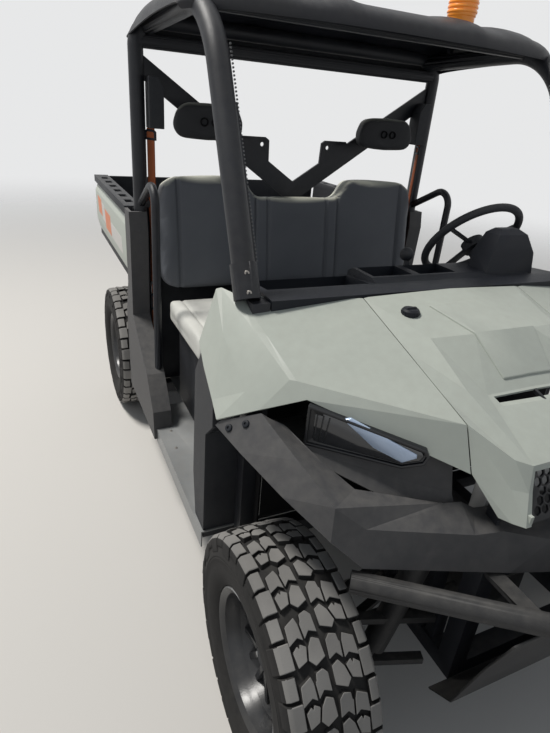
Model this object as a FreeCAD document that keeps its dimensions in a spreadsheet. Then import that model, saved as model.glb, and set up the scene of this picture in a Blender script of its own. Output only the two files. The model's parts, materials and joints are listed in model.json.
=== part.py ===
import FreeCAD, Part
import Sketcher
import math
import os
from types import SimpleNamespace
from FreeCAD import Placement, Rotation, Vector

# Side by side utility vehicle, at its real size in millimetres.
# +Z is up, the front points along -Y, and the driver sits on the +X side.
# The origin lies on the ground, under the middle of the vehicle's box.

doc = FreeCAD.newDocument("side_by_side")

# Driving dimensions. Columns: alias, value, what it sets.
SIZES = [
    ("overall_width", 1588, "outside of the left tyres to outside of the right tyres"),
    ("front_overhang", 429, "front of the bumper bar to the front axle"),
    ("cab_length", 1531, "front axle to the rear pillars of the cab"),
    ("axle_setback", 526, "rear pillars to the rear axle"),
    ("rear_overhang", 564, "rear axle to the back of the tailgate"),
    ("tyre_radius", 332, "ground to axle, out to the tips of the lugs"),
    ("front_tyre_width", 229, "width of a front tyre"),
    ("rear_tyre_width", 279, "width of a rear tyre"),
    ("tread_depth", 16, "height of the lugs"),
    ("bead_radius", 178, "radius where the tyre sits on its rim"),
    ("rim_lip", 14, "height of the rim's edge above the bead"),
    ("rim_wall", 6, "thickness of the rim"),
    ("rim_dish", 74, "outer face of the tyre in to the wheel's disc"),
    ("spindle_radius", 28, "radius of the stub that carries a wheel"),
    ("spindle_fit", 0.05, "radial clearance of a wheel on its stub"),
    ("running_gap", 8, "clearance between pieces that move"),
    ("rest_gap", 0.3, "clearance where a moving piece rests on its seat"),
    ("panel_wall", 5, "thickness of the body panels"),
    ("frame_tube", 50, "side of the square frame tubes"),
    ("frame_half_width", 255, "centre line to a frame rail"),
    ("frame_clearance", 300, "ground to the underside of the frame"),
    ("cab_half_width", 640, "centre line to the side of the cab floor"),
    ("sill_half_width", 745, "centre line to the outside of the sill"),
    ("sill_drop", 60, "height of the sill panel"),
    ("cowl_height", 1150, "ground to the back edge of the hood"),
    ("hood_half_width", 300, "centre line to the hood's seam"),
    ("hood_seam", 3, "gap between the hood and each fender"),
    ("seat_height", 850, "ground to the top of the seat cushions"),
    ("cushion_thickness", 110, "thickness of a seat cushion"),
    ("cushion_length", 480, "front to back of a seat cushion"),
    ("cushion_split", 130, "centre line to the gap between the two cushions"),
    ("seat_half_width", 635, "centre line to the side of the bench"),
    ("seat_back_height", 478, "height of the seat back"),
    ("seat_back_thickness", 70, "thickness of the seat back"),
    ("seat_back_lean", 8, "lean of the seat back, in degrees"),
    ("seat_back_dip", 58, "depth of the dip in the middle of the seat back"),
    ("seat_base_wall", 18, "wall of the bin under the seat"),
    ("rops_tube", 64, "diameter of the front pillars and roof rails"),
    ("hoop_tube", 58, "diameter of the rear hoop's pillars"),
    ("rail_tube", 50, "diameter of the cab frame's cross tubes"),
    ("pillar_foot_height", 1150, "ground to the foot of a front pillar"),
    ("roof_rail_height", 1876, "ground to the axis of the roof rails"),
    ("rear_header_height", 1806, "ground to the axis of the tube over the rear window"),
    ("rear_hoop_half_width", 704, "centre line to a rear pillar"),
    ("hip_tube", 32, "diameter of the hip bars"),
    ("brace_bar", 70, "width of the flat bars of the V brace"),
    ("brace_wall", 12, "thickness of the flat bars of the V brace"),
    ("beacon_radius", 52, "radius of the beacon's lens"),
    ("beacon_rise", 122, "height of the beacon"),
    ("bumper_tube", 50, "diameter of the bumper bar"),
    ("bumper_height", 700, "ground to the axis of the bumper bar"),
    ("bumper_wall", 4, "wall of the bumper bar"),
    ("steering_radius", 180, "centre of the steering wheel to the middle of its rim"),
    ("steering_tilt", 38.5, "lean of the steering wheel from upright, in degrees"),
    ("grip_radius", 14, "radius of the steering wheel's rim"),
    ("kingpin_offset", 194, "outside of a front tyre in to its steering axis"),
    ("bed_half_width", 762, "centre line to the outside of the cargo bed"),
    ("bed_top", 1190, "ground to the top of the bed's rails"),
    ("bed_depth", 317, "top of the rails down to the bed's floor"),
    ("bed_wall", 60, "thickness of the bed's side walls"),
    ("bed_floor_wall", 14, "thickness of the bed's floor"),
    ("bed_skin", 16, "thickness of the painted panel on the side of the bed"),
    ("bed_gap", 71, "rear pillars to the front of the cargo bed"),
    ("tailgate_wall", 26, "thickness of the tailgate"),
    ("radiator_width", 450, "side to side of the radiator"),
    ("radiator_height", 215, "height of the radiator"),
    ("radiator_depth", 45, "front to back of the radiator"),
    ("engine_width", 430, "side to side of the engine"),
    ("engine_height", 360, "height of the engine"),
    ("receiver_side", 64, "outside of the square hitch receiver"),
    ("receiver_bore", 51, "inside of the square hitch receiver"),
    ("receiver_length", 150, "length of the hitch receiver"),
    ("receiver_height", 400, "ground to the axis of the hitch receiver"),
    ("hitch_pin_radius", 8, "radius of the hole for the hitch pin"),
]
sheet = doc.addObject("Spreadsheet::Sheet", "Sizes")
for row, (alias, value, meaning) in enumerate(SIZES, start=1):
    sheet.set("A%d" % row, meaning)
    sheet.set("B%d" % row, str(value))
    sheet.setAlias("B%d" % row, alias)
doc.recompute()


class Size:
    """A length with both its number and its expression on the sheet."""

    def __init__(self, number, text):
        self.number = float(number)
        self.text = text

    def __float__(self):
        return self.number

    def __add__(self, other):
        return Size(self.number + float(other), "(%s + %s)" % (self.text, wording(other)))

    def __radd__(self, other):
        return Size(float(other) + self.number, "(%s + %s)" % (wording(other), self.text))

    def __sub__(self, other):
        return Size(self.number - float(other), "(%s - %s)" % (self.text, wording(other)))

    def __rsub__(self, other):
        return Size(float(other) - self.number, "(%s - %s)" % (wording(other), self.text))

    def __mul__(self, other):
        return Size(self.number * float(other), "(%s * %s)" % (self.text, wording(other)))

    def __rmul__(self, other):
        return self * other

    def __truediv__(self, other):
        return Size(self.number / float(other), "(%s / %s)" % (self.text, wording(other)))

    def __neg__(self):
        return Size(-self.number, "(0 - %s)" % self.text)


def wording(value):
    return value.text if isinstance(value, Size) else repr(float(value))


size = SimpleNamespace(**{alias: Size(sheet.get(alias), "Sizes." + alias) for alias, _, _ in SIZES})

# Places that several pieces share.
BACK = (size.front_overhang + size.cab_length + size.axle_setback + size.rear_overhang) / 2
FRONT = -BACK
FRONT_AXLE = FRONT + size.front_overhang
PILLAR_Y = FRONT_AXLE + size.cab_length
REAR_AXLE = PILLAR_Y + size.axle_setback
HALF_WIDTH = size.overall_width / 2
FLOOR = size.frame_clearance + size.frame_tube
RAIL_AXIS = size.frame_clearance + size.frame_tube / 2
BED_FRONT = PILLAR_Y + size.bed_gap
BED_FLOOR = size.bed_top - size.bed_depth
BED_UNDER = BED_FLOOR - size.bed_floor_wall
FIREWALL = FRONT_AXLE + 376
DASH_BACK = FRONT_AXLE + 668
SEAT_REAR = PILLAR_Y - 159
KINGPIN = HALF_WIDTH - size.kingpin_offset
SPINDLE_END = HALF_WIDTH - size.rim_dish - 8
CUSHION_BOTTOM = size.seat_height - size.cushion_thickness


def at(x, y, z):
    return Vector(float(x), float(y), float(z))


def cab_place(share):
    """Place along the cab: 0 at the back of the dashboard, 1 at the rear pillars."""
    return DASH_BACK + (PILLAR_Y - DASH_BACK) * share


def rod(start, end, radius):
    """Round bar from one point to another."""
    way = end - start
    return Part.makeCylinder(float(radius), way.Length, start, way)


def beam(start, end, side, depth=None):
    """Square or flat bar from one point to another; depth is its size across the other way."""
    way = end - start
    across = Vector(0, 1, 0) if abs(way.x) > abs(way.y) else Vector(1, 0, 0)
    up = way.cross(across).normalize()
    across = up.cross(way).normalize()
    half = across * (float(side) / 2)
    rise = up * (float(depth or side) / 2)
    corners = [start + half + rise, start - half + rise, start - half - rise, start + half - rise]
    return Part.Face(Part.makePolygon(corners + corners[:1])).extrude(way)


def bent_bar(points, bend, radius):
    """Round bar along straight runs, joined by tangent arcs of one bend radius."""
    pieces = []
    last = points[0]
    for before, corner, after in zip(points, points[1:], points[2:]):
        back = (before - corner).normalize()
        on = (after - corner).normalize()
        turn = math.pi - back.getAngle(on)
        start = corner + back * (float(bend) * math.tan(turn / 2))
        centre = corner + (back + on).normalize() * (float(bend) / math.cos(turn / 2))
        pieces.append(rod(last, start, radius))
        section = Part.Face(Part.Wire(Part.makeCircle(float(radius), start, back)))
        pieces.append(section.revolve(centre, on.cross(back), math.degrees(turn)))
        last = corner + on * (float(bend) * math.tan(turn / 2))
    pieces.append(rod(last, points[-1], radius))
    return joined(pieces)


def prism(outline, plane, low, high):
    """Flat outline drawn in XY, XZ or YZ and drawn out from low to high along the third axis."""
    low, high = float(low), float(high)
    if plane == "YZ":
        corners = [at(low, u, v) for u, v in outline]
        way = Vector(high - low, 0, 0)
    elif plane == "XZ":
        corners = [at(u, low, v) for u, v in outline]
        way = Vector(0, high - low, 0)
    else:
        corners = [at(u, v, low) for u, v in outline]
        way = Vector(0, 0, high - low)
    return Part.Face(Part.makePolygon(corners + corners[:1])).extrude(way)


def box(low, high):
    """Box between two opposite corners."""
    return Part.makeBox(high.x - low.x, high.y - low.y, high.z - low.z, low)


def faceted_panel(rows, wall, inside):
    """Moulded panel with flat facets: rows of points are its outer face, wall its thickness.

    inside is a point on the hidden side, towards which the thickness goes.
    """
    high, wide = len(rows), len(rows[0])
    normals = [[Vector() for _ in range(wide)] for _ in range(high)]
    for i in range(high - 1):
        for j in range(wide - 1):
            quad = [(i, j), (i + 1, j), (i + 1, j + 1), (i, j + 1)]
            for k in range(4):
                here, nxt, prev = quad[k], quad[(k + 1) % 4], quad[k - 1]
                corner = rows[here[0]][here[1]]
                turn = (rows[nxt[0]][nxt[1]] - corner).cross(rows[prev[0]][prev[1]] - corner)
                if turn.Length > 1e-6:
                    normals[here[0]][here[1]] += turn.normalize()
    backs = []
    for i in range(high):
        line = []
        for j in range(wide):
            way = normals[i][j].normalize()
            if way.dot(inside - rows[i][j]) < 0:
                way = -way
            line.append(rows[i][j] + way * float(wall))
        backs.append(line)
    faces = []

    def triangle(a, b, c):
        if (b - a).cross(c - a).Length > 1e-3:
            faces.append(Part.Face(Part.makePolygon([a, b, c, a])))

    def quad_face(a, b, c, d):
        triangle(a, b, c)
        triangle(a, c, d)

    for grid in (rows, backs):
        for i in range(high - 1):
            for j in range(wide - 1):
                quad_face(grid[i][j], grid[i + 1][j], grid[i + 1][j + 1], grid[i][j + 1])
    for i in range(high - 1):
        quad_face(rows[i][0], rows[i + 1][0], backs[i + 1][0], backs[i][0])
        quad_face(rows[i][-1], rows[i + 1][-1], backs[i + 1][-1], backs[i][-1])
    for j in range(wide - 1):
        quad_face(rows[0][j], rows[0][j + 1], backs[0][j + 1], backs[0][j])
        quad_face(rows[-1][j], rows[-1][j + 1], backs[-1][j + 1], backs[-1][j])
    shell = Part.makeShell(faces)
    shell.sewShape()
    solid = Part.makeSolid(shell)
    if solid.Volume < 0:
        solid.reverse()
    return solid


def mirrored(shape):
    return shape.mirror(Vector(0, 0, 0), Vector(1, 0, 0))


def pair(shape):
    """A piece and its mirror image on the other side of the vehicle."""
    return Part.makeCompound([shape, mirrored(shape)])


def joined(shapes):
    return shapes[0].multiFuse(shapes[1:]).removeSplitter()


def largest(shape):
    """The main solid of a piece, without the offcuts of a trim."""
    return max(shape.Solids, key=lambda solid: solid.Volume)


NODES = {}


def keep(label, shape):
    """A sub-part whose shape is worked out above, under its own label."""
    piece = doc.addObject("Part::Feature", label)
    piece.Label = label
    piece.Shape = shape
    NODES[label] = piece
    return piece


def origin_plane(body, role):
    for feature in body.Origin.OriginFeatures:
        if feature.Role == role:
            return feature


def sketch_on(body, name, role, outline, offset=0.0):
    """Closed outline on an origin plane, each corner held by the sheet's sizes."""
    sketch = body.newObject("Sketcher::SketchObject", name)
    sketch.AttachmentSupport = [(origin_plane(body, role), "")]
    sketch.MapMode = "FlatFace"
    sketch.AttachmentOffset = Placement(at(0, 0, offset), Rotation())
    if isinstance(offset, Size):
        sketch.setExpression("AttachmentOffset.Base.z", offset.text)
    corners = [at(u, v, 0) for u, v in outline]
    for start, end in zip(corners, corners[1:] + corners[:1]):
        sketch.addGeometry(Part.LineSegment(start, end), False)
    for line in range(len(corners)):
        after = (line + 1) % len(corners)
        sketch.addConstraint(Sketcher.Constraint("Coincident", line, 2, after, 1))
    for line, (u, v) in enumerate(outline):
        for kind, value in (("DistanceX", u), ("DistanceY", v)):
            held = sketch.addConstraint(Sketcher.Constraint(kind, -1, 1, line, 1, float(value)))
            if isinstance(value, Size):
                sketch.setExpression("Constraints[%d]" % held, value.text)
    return sketch


def padded_body(label, role, outline, depth, offset=0.0, midplane=False):
    """Body made by drawing an outline out by depth."""
    body = doc.addObject("PartDesign::Body", label + "_body")
    sketch = sketch_on(body, label + "_outline", role, outline, offset)
    pad = body.newObject("PartDesign::Pad", label + "_pad")
    pad.Profile = sketch
    pad.Length = float(depth)
    if isinstance(depth, Size):
        pad.setExpression("Length", depth.text)
    pad.Midplane = midplane
    sketch.Visibility = False
    body.Tip = pad
    doc.recompute()
    return body


def name_body(body, label):
    body.Label = label
    NODES[label] = body
    return body


def both_sides(label, source):
    """A bound piece with its mirror image, kept as one sub-part."""
    other = doc.addObject("Part::Mirroring", label + "_mirror")
    other.Source = source
    other.Normal = Vector(1, 0, 0)
    group = doc.addObject("Part::Compound", label)
    group.Links = [source, other]
    group.Label = label
    NODES[label] = group
    doc.recompute()
    return group


def bound_box(name, low, high):
    """Box bound to the sheet between two corners given as sizes."""
    piece = doc.addObject("Part::Box", name)
    for prop, start, end in zip(("Length", "Width", "Height"), low, high):
        span = end - start
        setattr(piece, prop, float(span))
        if isinstance(span, Size):
            piece.setExpression(prop, span.text)
    piece.Placement = Placement(at(*low), Rotation())
    for axis, start in zip("xyz", low):
        if isinstance(start, Size):
            piece.setExpression("Placement.Base." + axis, start.text)
    return piece


# Wheels

def revolved_body(label, profile, centre):
    """Body turned about the wheel's axle; profile columns: place along X, radius."""
    body = doc.addObject("PartDesign::Body", label + "_body")
    sketch = sketch_on(body, label + "_section", "XY_Plane", profile)
    turned = body.newObject("PartDesign::Revolution", label + "_turned")
    turned.Profile = sketch
    turned.ReferenceAxis = (sketch, ["H_Axis"])
    turned.Angle = 360
    body.Tip = turned
    sketch.Visibility = False
    body.Placement = Placement(at(*centre), Rotation())
    for axis, place in zip("xyz", centre):
        if isinstance(place, Size):
            body.setExpression("Placement.Base." + axis, place.text)
    return name_body(body, label)


TREAD_PITCHES = 22


def tyre_shape(width):
    """Tyre about the origin: a ring with flats, a block and a shoulder lug on every flat."""
    half = float(width) / 2
    tip = float(size.tyre_radius)
    crown = float(size.tyre_radius - size.tread_depth)
    bead = float(size.bead_radius)
    middle = bead + (tip - bead) * 0.45
    spread = 1 / math.cos(math.pi / TREAD_PITCHES)
    # Columns: place along the axle as a share of half the width, distance of the flats from the axle.
    seat = bead + float(size.rim_lip)
    section = [(-0.80, bead), (-0.80, seat), (-1.00, middle), (-0.90, crown), (0.90, crown), (1.00, middle),
               (0.80, seat), (0.80, bead), (0.66, bead), (0.66, middle), (-0.66, middle), (-0.66, bead)]
    rings = []
    for step in range(TREAD_PITCHES):
        turn = 2 * math.pi * (step + 0.5) / TREAD_PITCHES
        rings.append([Vector(half * u, r * spread * math.sin(turn), -r * spread * math.cos(turn))
                      for u, r in section])
    faces = []
    for ring, after in zip(rings, rings[1:] + rings[:1]):
        for k in range(len(section)):
            corners = [ring[k], ring[k - 1], after[k - 1], after[k]]
            faces.append(Part.Face(Part.makePolygon(corners + corners[:1])))
    carcass = Part.makeSolid(Part.makeShell(faces))
    if carcass.Volume < 0:
        carcass.reverse()
    lugs = []
    for step in range(TREAD_PITCHES):
        side = 1 if step % 2 else -1
        block = [(0.05, -30), (0.56, -20), (0.56, 22), (0.05, 12)]
        block = prism([(half * u * side, v) for u, v in block], "XY", -tip, -crown + 8)
        lug = [(0.50, crown - 8), (0.50, tip), (0.88, tip - 5), (1.00, crown - 16), (0.97, middle + 14)]
        lug = prism([(-half * u * side, -r) for u, r in lug], "XZ", -21, 21)
        turn = Rotation(Vector(1, 0, 0), 360 / TREAD_PITCHES * step)
        for piece in (block, lug):
            piece.Placement = Placement(Vector(), turn)
            lugs.append(piece)
    return carcass.multiFuse(lugs).removeSplitter()


def rim(corner, side, axle, width):
    """Rim of one wheel; side is +1 on the driver's side."""
    half = width / 2
    outer = HALF_WIDTH - half
    bead = size.bead_radius
    lip = size.bead_radius + size.rim_lip
    wall = size.rim_wall
    edge = half * 0.80
    disc = half - size.rim_dish
    barrel = bead - wall
    hub = size.spindle_radius + size.spindle_fit
    hub_back = SPINDLE_END - outer - 60
    # Section of the rim: lip, barrel, disc with its dish, and hub with a blind bore.
    profile = [(-edge - wall, barrel), (disc - wall, barrel), (disc - wall - 14, 120),
               (disc - wall - 14, 62), (hub_back, 58), (hub_back, hub), (disc, hub),
               (disc, 0), (disc + 12, 0), (disc + 12, 56), (disc - 14, 66), (disc - 14, 118),
               (disc, barrel - 2), (edge + wall, barrel), (edge + wall, lip), (edge, lip),
               (edge, bead), (-edge, bead), (-edge, lip), (-edge - wall, lip)]
    centre = (outer * side, axle, size.tyre_radius)
    revolved_body(corner + "_rim", [(u * side, r) for u, r in profile], centre)


# Columns: name, axle, tyre width.
AXLES = [("front", FRONT_AXLE, size.front_tyre_width), ("rear", REAR_AXLE, size.rear_tyre_width)]
for end, axle_y, tyre_width in AXLES:
    tyre = tyre_shape(tyre_width)
    tyre.translate(at(HALF_WIDTH - tyre_width / 2, axle_y, size.tyre_radius))
    keep(end + "_left_tyre", tyre)
    rim(end + "_left", 1, axle_y, tyre_width)
    keep(end + "_right_tyre", mirrored(tyre))
    rim(end + "_right", -1, axle_y, tyre_width)
doc.recompute()

ARM_LOW = size.tyre_radius - 82
ARM_HIGH = size.tyre_radius + 88
ARM_TIP = 11
KNUCKLE_HALF = 30


def knuckle_shape():
    """Upright with its stub and steering arm, on the driver's side."""
    x = KINGPIN
    z = size.tyre_radius
    upright = box(at(x - KNUCKLE_HALF, FRONT_AXLE - 34, ARM_LOW + ARM_TIP + size.rest_gap),
                  at(x + KNUCKLE_HALF, FRONT_AXLE + 34, ARM_HIGH - ARM_TIP - size.rest_gap))
    stub = rod(at(x, FRONT_AXLE, z), at(SPINDLE_END, FRONT_AXLE, z), size.spindle_radius)
    arm = beam(at(x - 10, FRONT_AXLE + 20, z + 20), at(x - 16, FRONT_AXLE + 118, z + 20), 30, 24)
    return joined([upright, stub, arm])


keep("knuckle_left", knuckle_shape())
keep("knuckle_right", mirrored(knuckle_shape()))

# Chassis

RAIL_FRONT = FRONT_AXLE - 210
RAIL_BACK = BACK - 150
RADIATOR_BACK = FRONT_AXLE - 75
UPPER_RAIL = BED_UNDER - 12 - size.frame_tube / 2
CAB_POST = size.cab_half_width - 3 - size.frame_tube / 2


# Hinge of the hood, behind the legs beside the grille: place behind the front axle, height.
HOOD_HINGE = (-196, 846)
HOOD_EAR = (218, 228)
HOOD_LUG_WALL = 8
HOOD_PIN = 6
HOOD_PIN_PLAY = 0.8
# Hinge of the cargo bed, through the ends of the upper rails.
BED_HINGE_Y = RAIL_BACK - 20
BED_PIN = 12
SHOCK_TOP = 700
# Places of the dampers behind their axles, front and rear.
SHOCK_ALONG = (-58, 52)


def chassis_shape():
    tube = size.frame_tube
    x = size.frame_half_width
    z = RAIL_AXIS
    rear_low = box(at(-x - 25, RAIL_BACK - 50, z - 25), at(x + 25, RAIL_BACK, z + 145))
    hinge = at(0, FRONT_AXLE + HOOD_HINGE[0], HOOD_HINGE[1])
    bars = [rear_low]
    lug_low = HOOD_EAR[1] + 6
    for side in (1, -1):
        bars.append(beam(at(x * side, RAIL_FRONT, z), at(x * side, RAIL_BACK, z), tube))
        bars.append(beam(at(x * side, RAIL_FRONT + 25, z),
                         at(x * side, RAIL_FRONT + 25, size.bumper_height), tube))
        bars.append(beam(at(x * side, BED_FRONT + 40, z), at(x * side, BED_FRONT + 40, UPPER_RAIL), tube))
        bars.append(beam(at(x * side, RAIL_BACK - 25, z), at(x * side, RAIL_BACK - 25, UPPER_RAIL), tube))
        bars.append(beam(at(x * side, BED_FRONT + 15, UPPER_RAIL), at(x * side, RAIL_BACK, UPPER_RAIL), tube))
        bars.append(beam(at(x * side, BED_FRONT + 90, UPPER_RAIL + 20),
                         at(x * side, BED_FRONT + 90, BED_UNDER - size.rest_gap), 60))
        post_y = FIREWALL + 55
        bars.append(beam(at(0, post_y, z), at((CAB_POST + 25) * side, post_y, z), tube))
        bars.append(beam(at(CAB_POST * side, post_y, z),
                         at(CAB_POST * side, post_y, size.pillar_foot_height), tube))
        bars.append(beam(at(0, PILLAR_Y, z), at((size.rear_hoop_half_width + 25) * side, PILLAR_Y, z), tube))
        for arm_y in (FRONT_AXLE, REAR_AXLE):
            for spread in (-110, 110):
                bars.append(box(at(x * side - 18, arm_y + spread - 16, z),
                                at(x * side + 18, arm_y + spread + 16, ARM_HIGH + 22)))
        bars.append(beam(at(x * side, FRONT_AXLE + SHOCK_ALONG[0], z),
                         at(x * side, FRONT_AXLE + SHOCK_ALONG[0], SHOCK_TOP), tube))
        # Swan-necked hinge plate: it reaches the hood's pin from behind, clear of the legs as they swing.
        neck = [(hinge.y + 20, size.bumper_height - 10), (hinge.y + 56, size.bumper_height - 10),
                (hinge.y + 56, hinge.z - 16), (hinge.y + 10, hinge.z + 12), (hinge.y - 9, hinge.z + 8),
                (hinge.y - 9, hinge.z - 9), (hinge.y + 20, hinge.z - 46)]
        plate_from, plate_to = sorted((lug_low * side, (lug_low + HOOD_LUG_WALL) * side))
        bars.append(prism(neck, "YZ", plate_from, plate_to))
        bars.append(rod(at((HOOD_EAR[0] - 2) * side, hinge.y, hinge.z), at(lug_low * side, hinge.y, hinge.z),
                        HOOD_PIN))
        bars.append(rod(at(x * side, BED_HINGE_Y, UPPER_RAIL),
                        at((x + 40) * side, BED_HINGE_Y, UPPER_RAIL), BED_PIN))
        bars.append(box(at(side * 200 - 20, RAIL_FRONT + 45, size.bumper_height - 17),
                        at(side * 200 + 20, RADIATOR_BACK, size.bumper_height - 5)))
    for cross_y in (RAIL_FRONT + 25, FRONT_AXLE + 150, BED_FRONT + 40, REAR_AXLE - 160, REAR_AXLE + 160):
        bars.append(beam(at(-x, cross_y, z), at(x, cross_y, z), tube))
    bars.append(beam(at(-x, RAIL_BACK - 25, UPPER_RAIL), at(x, RAIL_BACK - 25, UPPER_RAIL), tube))
    bars.append(beam(at(-x, BED_FRONT + 40, UPPER_RAIL), at(x, BED_FRONT + 40, UPPER_RAIL), tube))
    bars.append(beam(at(-x, RAIL_FRONT + 25, size.bumper_height - 30),
                     at(x, RAIL_FRONT + 25, size.bumper_height - 30), tube))
    return joined(bars)


chassis = keep("chassis_frame", chassis_shape())

# Hitch receiver: a square tube with a square way in and a cross hole for its pin.
receiver_low = -size.receiver_side / 2
receiver_out = bound_box("receiver_outside",
                         (receiver_low, RAIL_BACK, size.receiver_height - size.receiver_side / 2),
                         (-receiver_low, RAIL_BACK + size.receiver_length,
                          size.receiver_height + size.receiver_side / 2))
receiver_in = bound_box("receiver_inside",
                        (-size.receiver_bore / 2, RAIL_BACK + 12, size.receiver_height - size.receiver_bore / 2),
                        (size.receiver_bore / 2, RAIL_BACK + size.receiver_length + 1,
                         size.receiver_height + size.receiver_bore / 2))
pin_hole = doc.addObject("Part::Cylinder", "hitch_pin_hole")
pin_hole.setExpression("Radius", size.hitch_pin_radius.text)
pin_hole.setExpression("Height", (size.receiver_side + 2).text)
pin_place = at(receiver_low - 1, RAIL_BACK + size.receiver_length - 60, size.receiver_height)
pin_hole.Placement = Placement(pin_place, Rotation(Vector(0, 1, 0), 90))
pin_hole.setExpression("Placement.Base.x", (receiver_low - 1).text)
pin_hole.setExpression("Placement.Base.y", (RAIL_BACK + size.receiver_length - 60).text)
pin_hole.setExpression("Placement.Base.z", size.receiver_height.text)
receiver_tube = doc.addObject("Part::Cut", "receiver_tube")
receiver_tube.Base = receiver_out
receiver_tube.Tool = receiver_in
receiver = doc.addObject("Part::Cut", "hitch_receiver")
receiver.Base = receiver_tube
receiver.Tool = pin_hole
receiver.Label = "hitch_receiver"
NODES["hitch_receiver"] = receiver
doc.recompute()

# Floor, with its toe board and firewall in one bent sheet

FIREWALL_TOP = size.cowl_height - 75
floor_wall = size.panel_wall
floor_outline = [
    (PILLAR_Y + 25, FLOOR), (PILLAR_Y + 25, FLOOR + floor_wall), (FIREWALL + 90, FLOOR + floor_wall),
    (FIREWALL + floor_wall, FLOOR + 96), (FIREWALL + floor_wall, FIREWALL_TOP), (FIREWALL, FIREWALL_TOP),
    (FIREWALL, FLOOR + 94), (FIREWALL + 84, FLOOR),
]
FLOOR_HALF = size.cab_half_width - size.frame_tube - 6
name_body(padded_body("floor_pan", "YZ_Plane", floor_outline, FLOOR_HALF * 2, midplane=True), "floor_pan")

# Sill panels under the door openings
SILL_BACK = PILLAR_Y - 241
sill_outline = [
    (FLOOR_HALF + 0.5, FLOOR), (size.sill_half_width, FLOOR), (size.sill_half_width, FLOOR - size.sill_drop),
    (size.sill_half_width + 4, FLOOR - size.sill_drop), (size.sill_half_width + 4, FLOOR + floor_wall),
    (FLOOR_HALF + 0.5, FLOOR + floor_wall),
]


# Front bodywork. Every table gives points on the passenger's side of the seam line outwards:
# columns are distance from the centre line, place ahead (-) or behind (+) the front axle, height.

SEAM = float(size.hood_half_width + size.hood_seam)


def body_point(across, along, height):
    return at(across, FRONT_AXLE + along, height)


FENDER_ROWS = [
    [(SEAM, 398, 1148), (SEAM, 180, 1084), (SEAM, -72, 1009), (SEAM, -119, 907)],
    [(645, 478, 1150), (628, 330, 1096), (610, 176, 1038), (600, 137, 1007)],
    [(680, 536, 1158), (652, 360, 1102), (622, 190, 1036), (612, 146, 1000)],
    [(694, 540, 1154), (712, 420, 1070), (706, 262, 978), (690, 206, 955)],
    [(745, 526, 1006), (757, 440, 968), (768, 330, 928), (775, 271, 905)],
]


def fender_shape():
    rows = [[body_point(*point) for point in row] for row in FENDER_ROWS]
    return faceted_panel(rows, size.panel_wall, body_point(450, 250, 600))


fender = keep("front_fenders", pair(fender_shape().cut(chassis.Shape)))

# Headlamp: a wedge with a clear face, in each corner
LAMP_FACE = [(600, 118, 1008), (612, 110, 906), (400, -60, 898), (385, -70, 940)]


def hull_prism(points, depth):
    """Slab with a flat face through the first three points, drawn back by depth."""
    base = points[0]
    normal = (points[1] - base).cross(points[2] - base).normalize()
    if normal.y < 0:
        normal = -normal
    flat = [point - normal * (point - base).dot(normal) for point in points]
    return Part.Face(Part.makePolygon(flat + flat[:1])).extrude(normal * float(depth))


lamp = hull_prism([body_point(*point) for point in LAMP_FACE], 70)

# Columns as above, from the tip beside the door, round the front to the middle.
FASCIA_ROWS = [
    [(752, 262, 914), (768, 268, 900), (777, 272, 888)],
    [(640, 165, 924), (688, 195, 952), (748, 170, 866)],
    [(590, 60, 886), (660, 45, 912), (702, 20, 838)],
    [(540, -21, 851), (626, -78, 866), (640, -101, 795)],
    [(350, -103, 824), (560, -110, 815), (574, -140, 735)],
    [(300, -112, 822), (310, -182, 785), (302, -214, 700)],
    [(262, -120, 800), (232, -194, 782), (222, -236, 690)],
    [(150, -130, 790), (130, -244, 770), (124, -262, 684)],
    [(0, -130, 790), (0, -250, 770), (0, -268, 684)],
]


# Recess round the lamp, from under the fender's edge down and forward to the fascia's top edge.
RECESS_ROWS = [
    [(606, 140, 996), (470, 40, 960), (308, -60, 925)],
    [(612, 104, 892), (470, 8, 862), (308, -88, 828)],
    [(592, 70, 872), (470, -38, 824), (308, -102, 808)],
]


def fascia_shape():
    """Skin of the fascia, and the recess that carries each lamp."""
    half = [[body_point(*point) for point in row] for row in FASCIA_ROWS]
    other = [[Vector(-p.x, p.y, p.z) for p in row] for row in reversed(half[:-1])]
    skin = faceted_panel(half + other, size.panel_wall, body_point(0, 400, 600))
    recess = faceted_panel([[body_point(*point) for point in row] for row in RECESS_ROWS], size.panel_wall,
                           body_point(450, 400, 700))
    recess = largest(recess.cut(lamp))
    return Part.makeCompound([largest(skin.cut(fender.Shape).cut(chassis.Shape)), recess, mirrored(recess)])


fascia = keep("front_fascia", fascia_shape())

# Wheel arch liners: a bent panel behind and over each front wheel
ARCH_IN = 478


def arch_shape():
    y, z = FRONT_AXLE, size.tyre_radius
    wall = size.panel_wall
    # Columns: place behind the axle, height above it.
    over = [(FIREWALL - FRONT_AXLE - 4, 468), (250, 500), (60, 510)]
    behind = [(466, -8), (462, 400), (400, 462), (FIREWALL - FRONT_AXLE - 4, 468), (310, 484)]
    outside = size.sill_half_width - 48
    slabs = []
    for outer, inside in ((over, ARCH_IN), (behind, FLOOR_HALF + 1)):
        line = [(y + u, z + v) for u, v in outer]
        back = [(y + u + wall * (outer is behind), z + v + wall) for u, v in reversed(outer)]
        slabs.append(prism(line + back, "YZ", inside, outside))
    liner = slabs[0].fuse(slabs[1])
    side = [(y + 466, z - 8), (y + 548, z - 20), (y + 584, z + 180), (y + 574, z + 560), (y + 520, z + 640),
            (y + 400, z + 580), (y + 400, z + 462), (y + 462, z + 400)]
    cheek = prism(side, "YZ", size.sill_half_width - 14, size.sill_half_width - 4)
    behind = [(y + 466, z - 8), (y + 466 + wall, z - 8), (y + 466 + wall, z + 400), (y + 462, z + 400)]
    back_wall = prism(behind, "YZ", size.sill_half_width - 48, size.sill_half_width - 10)
    liner = liner.fuse(back_wall)
    return liner.fuse(cheek).removeSplitter()


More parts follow.
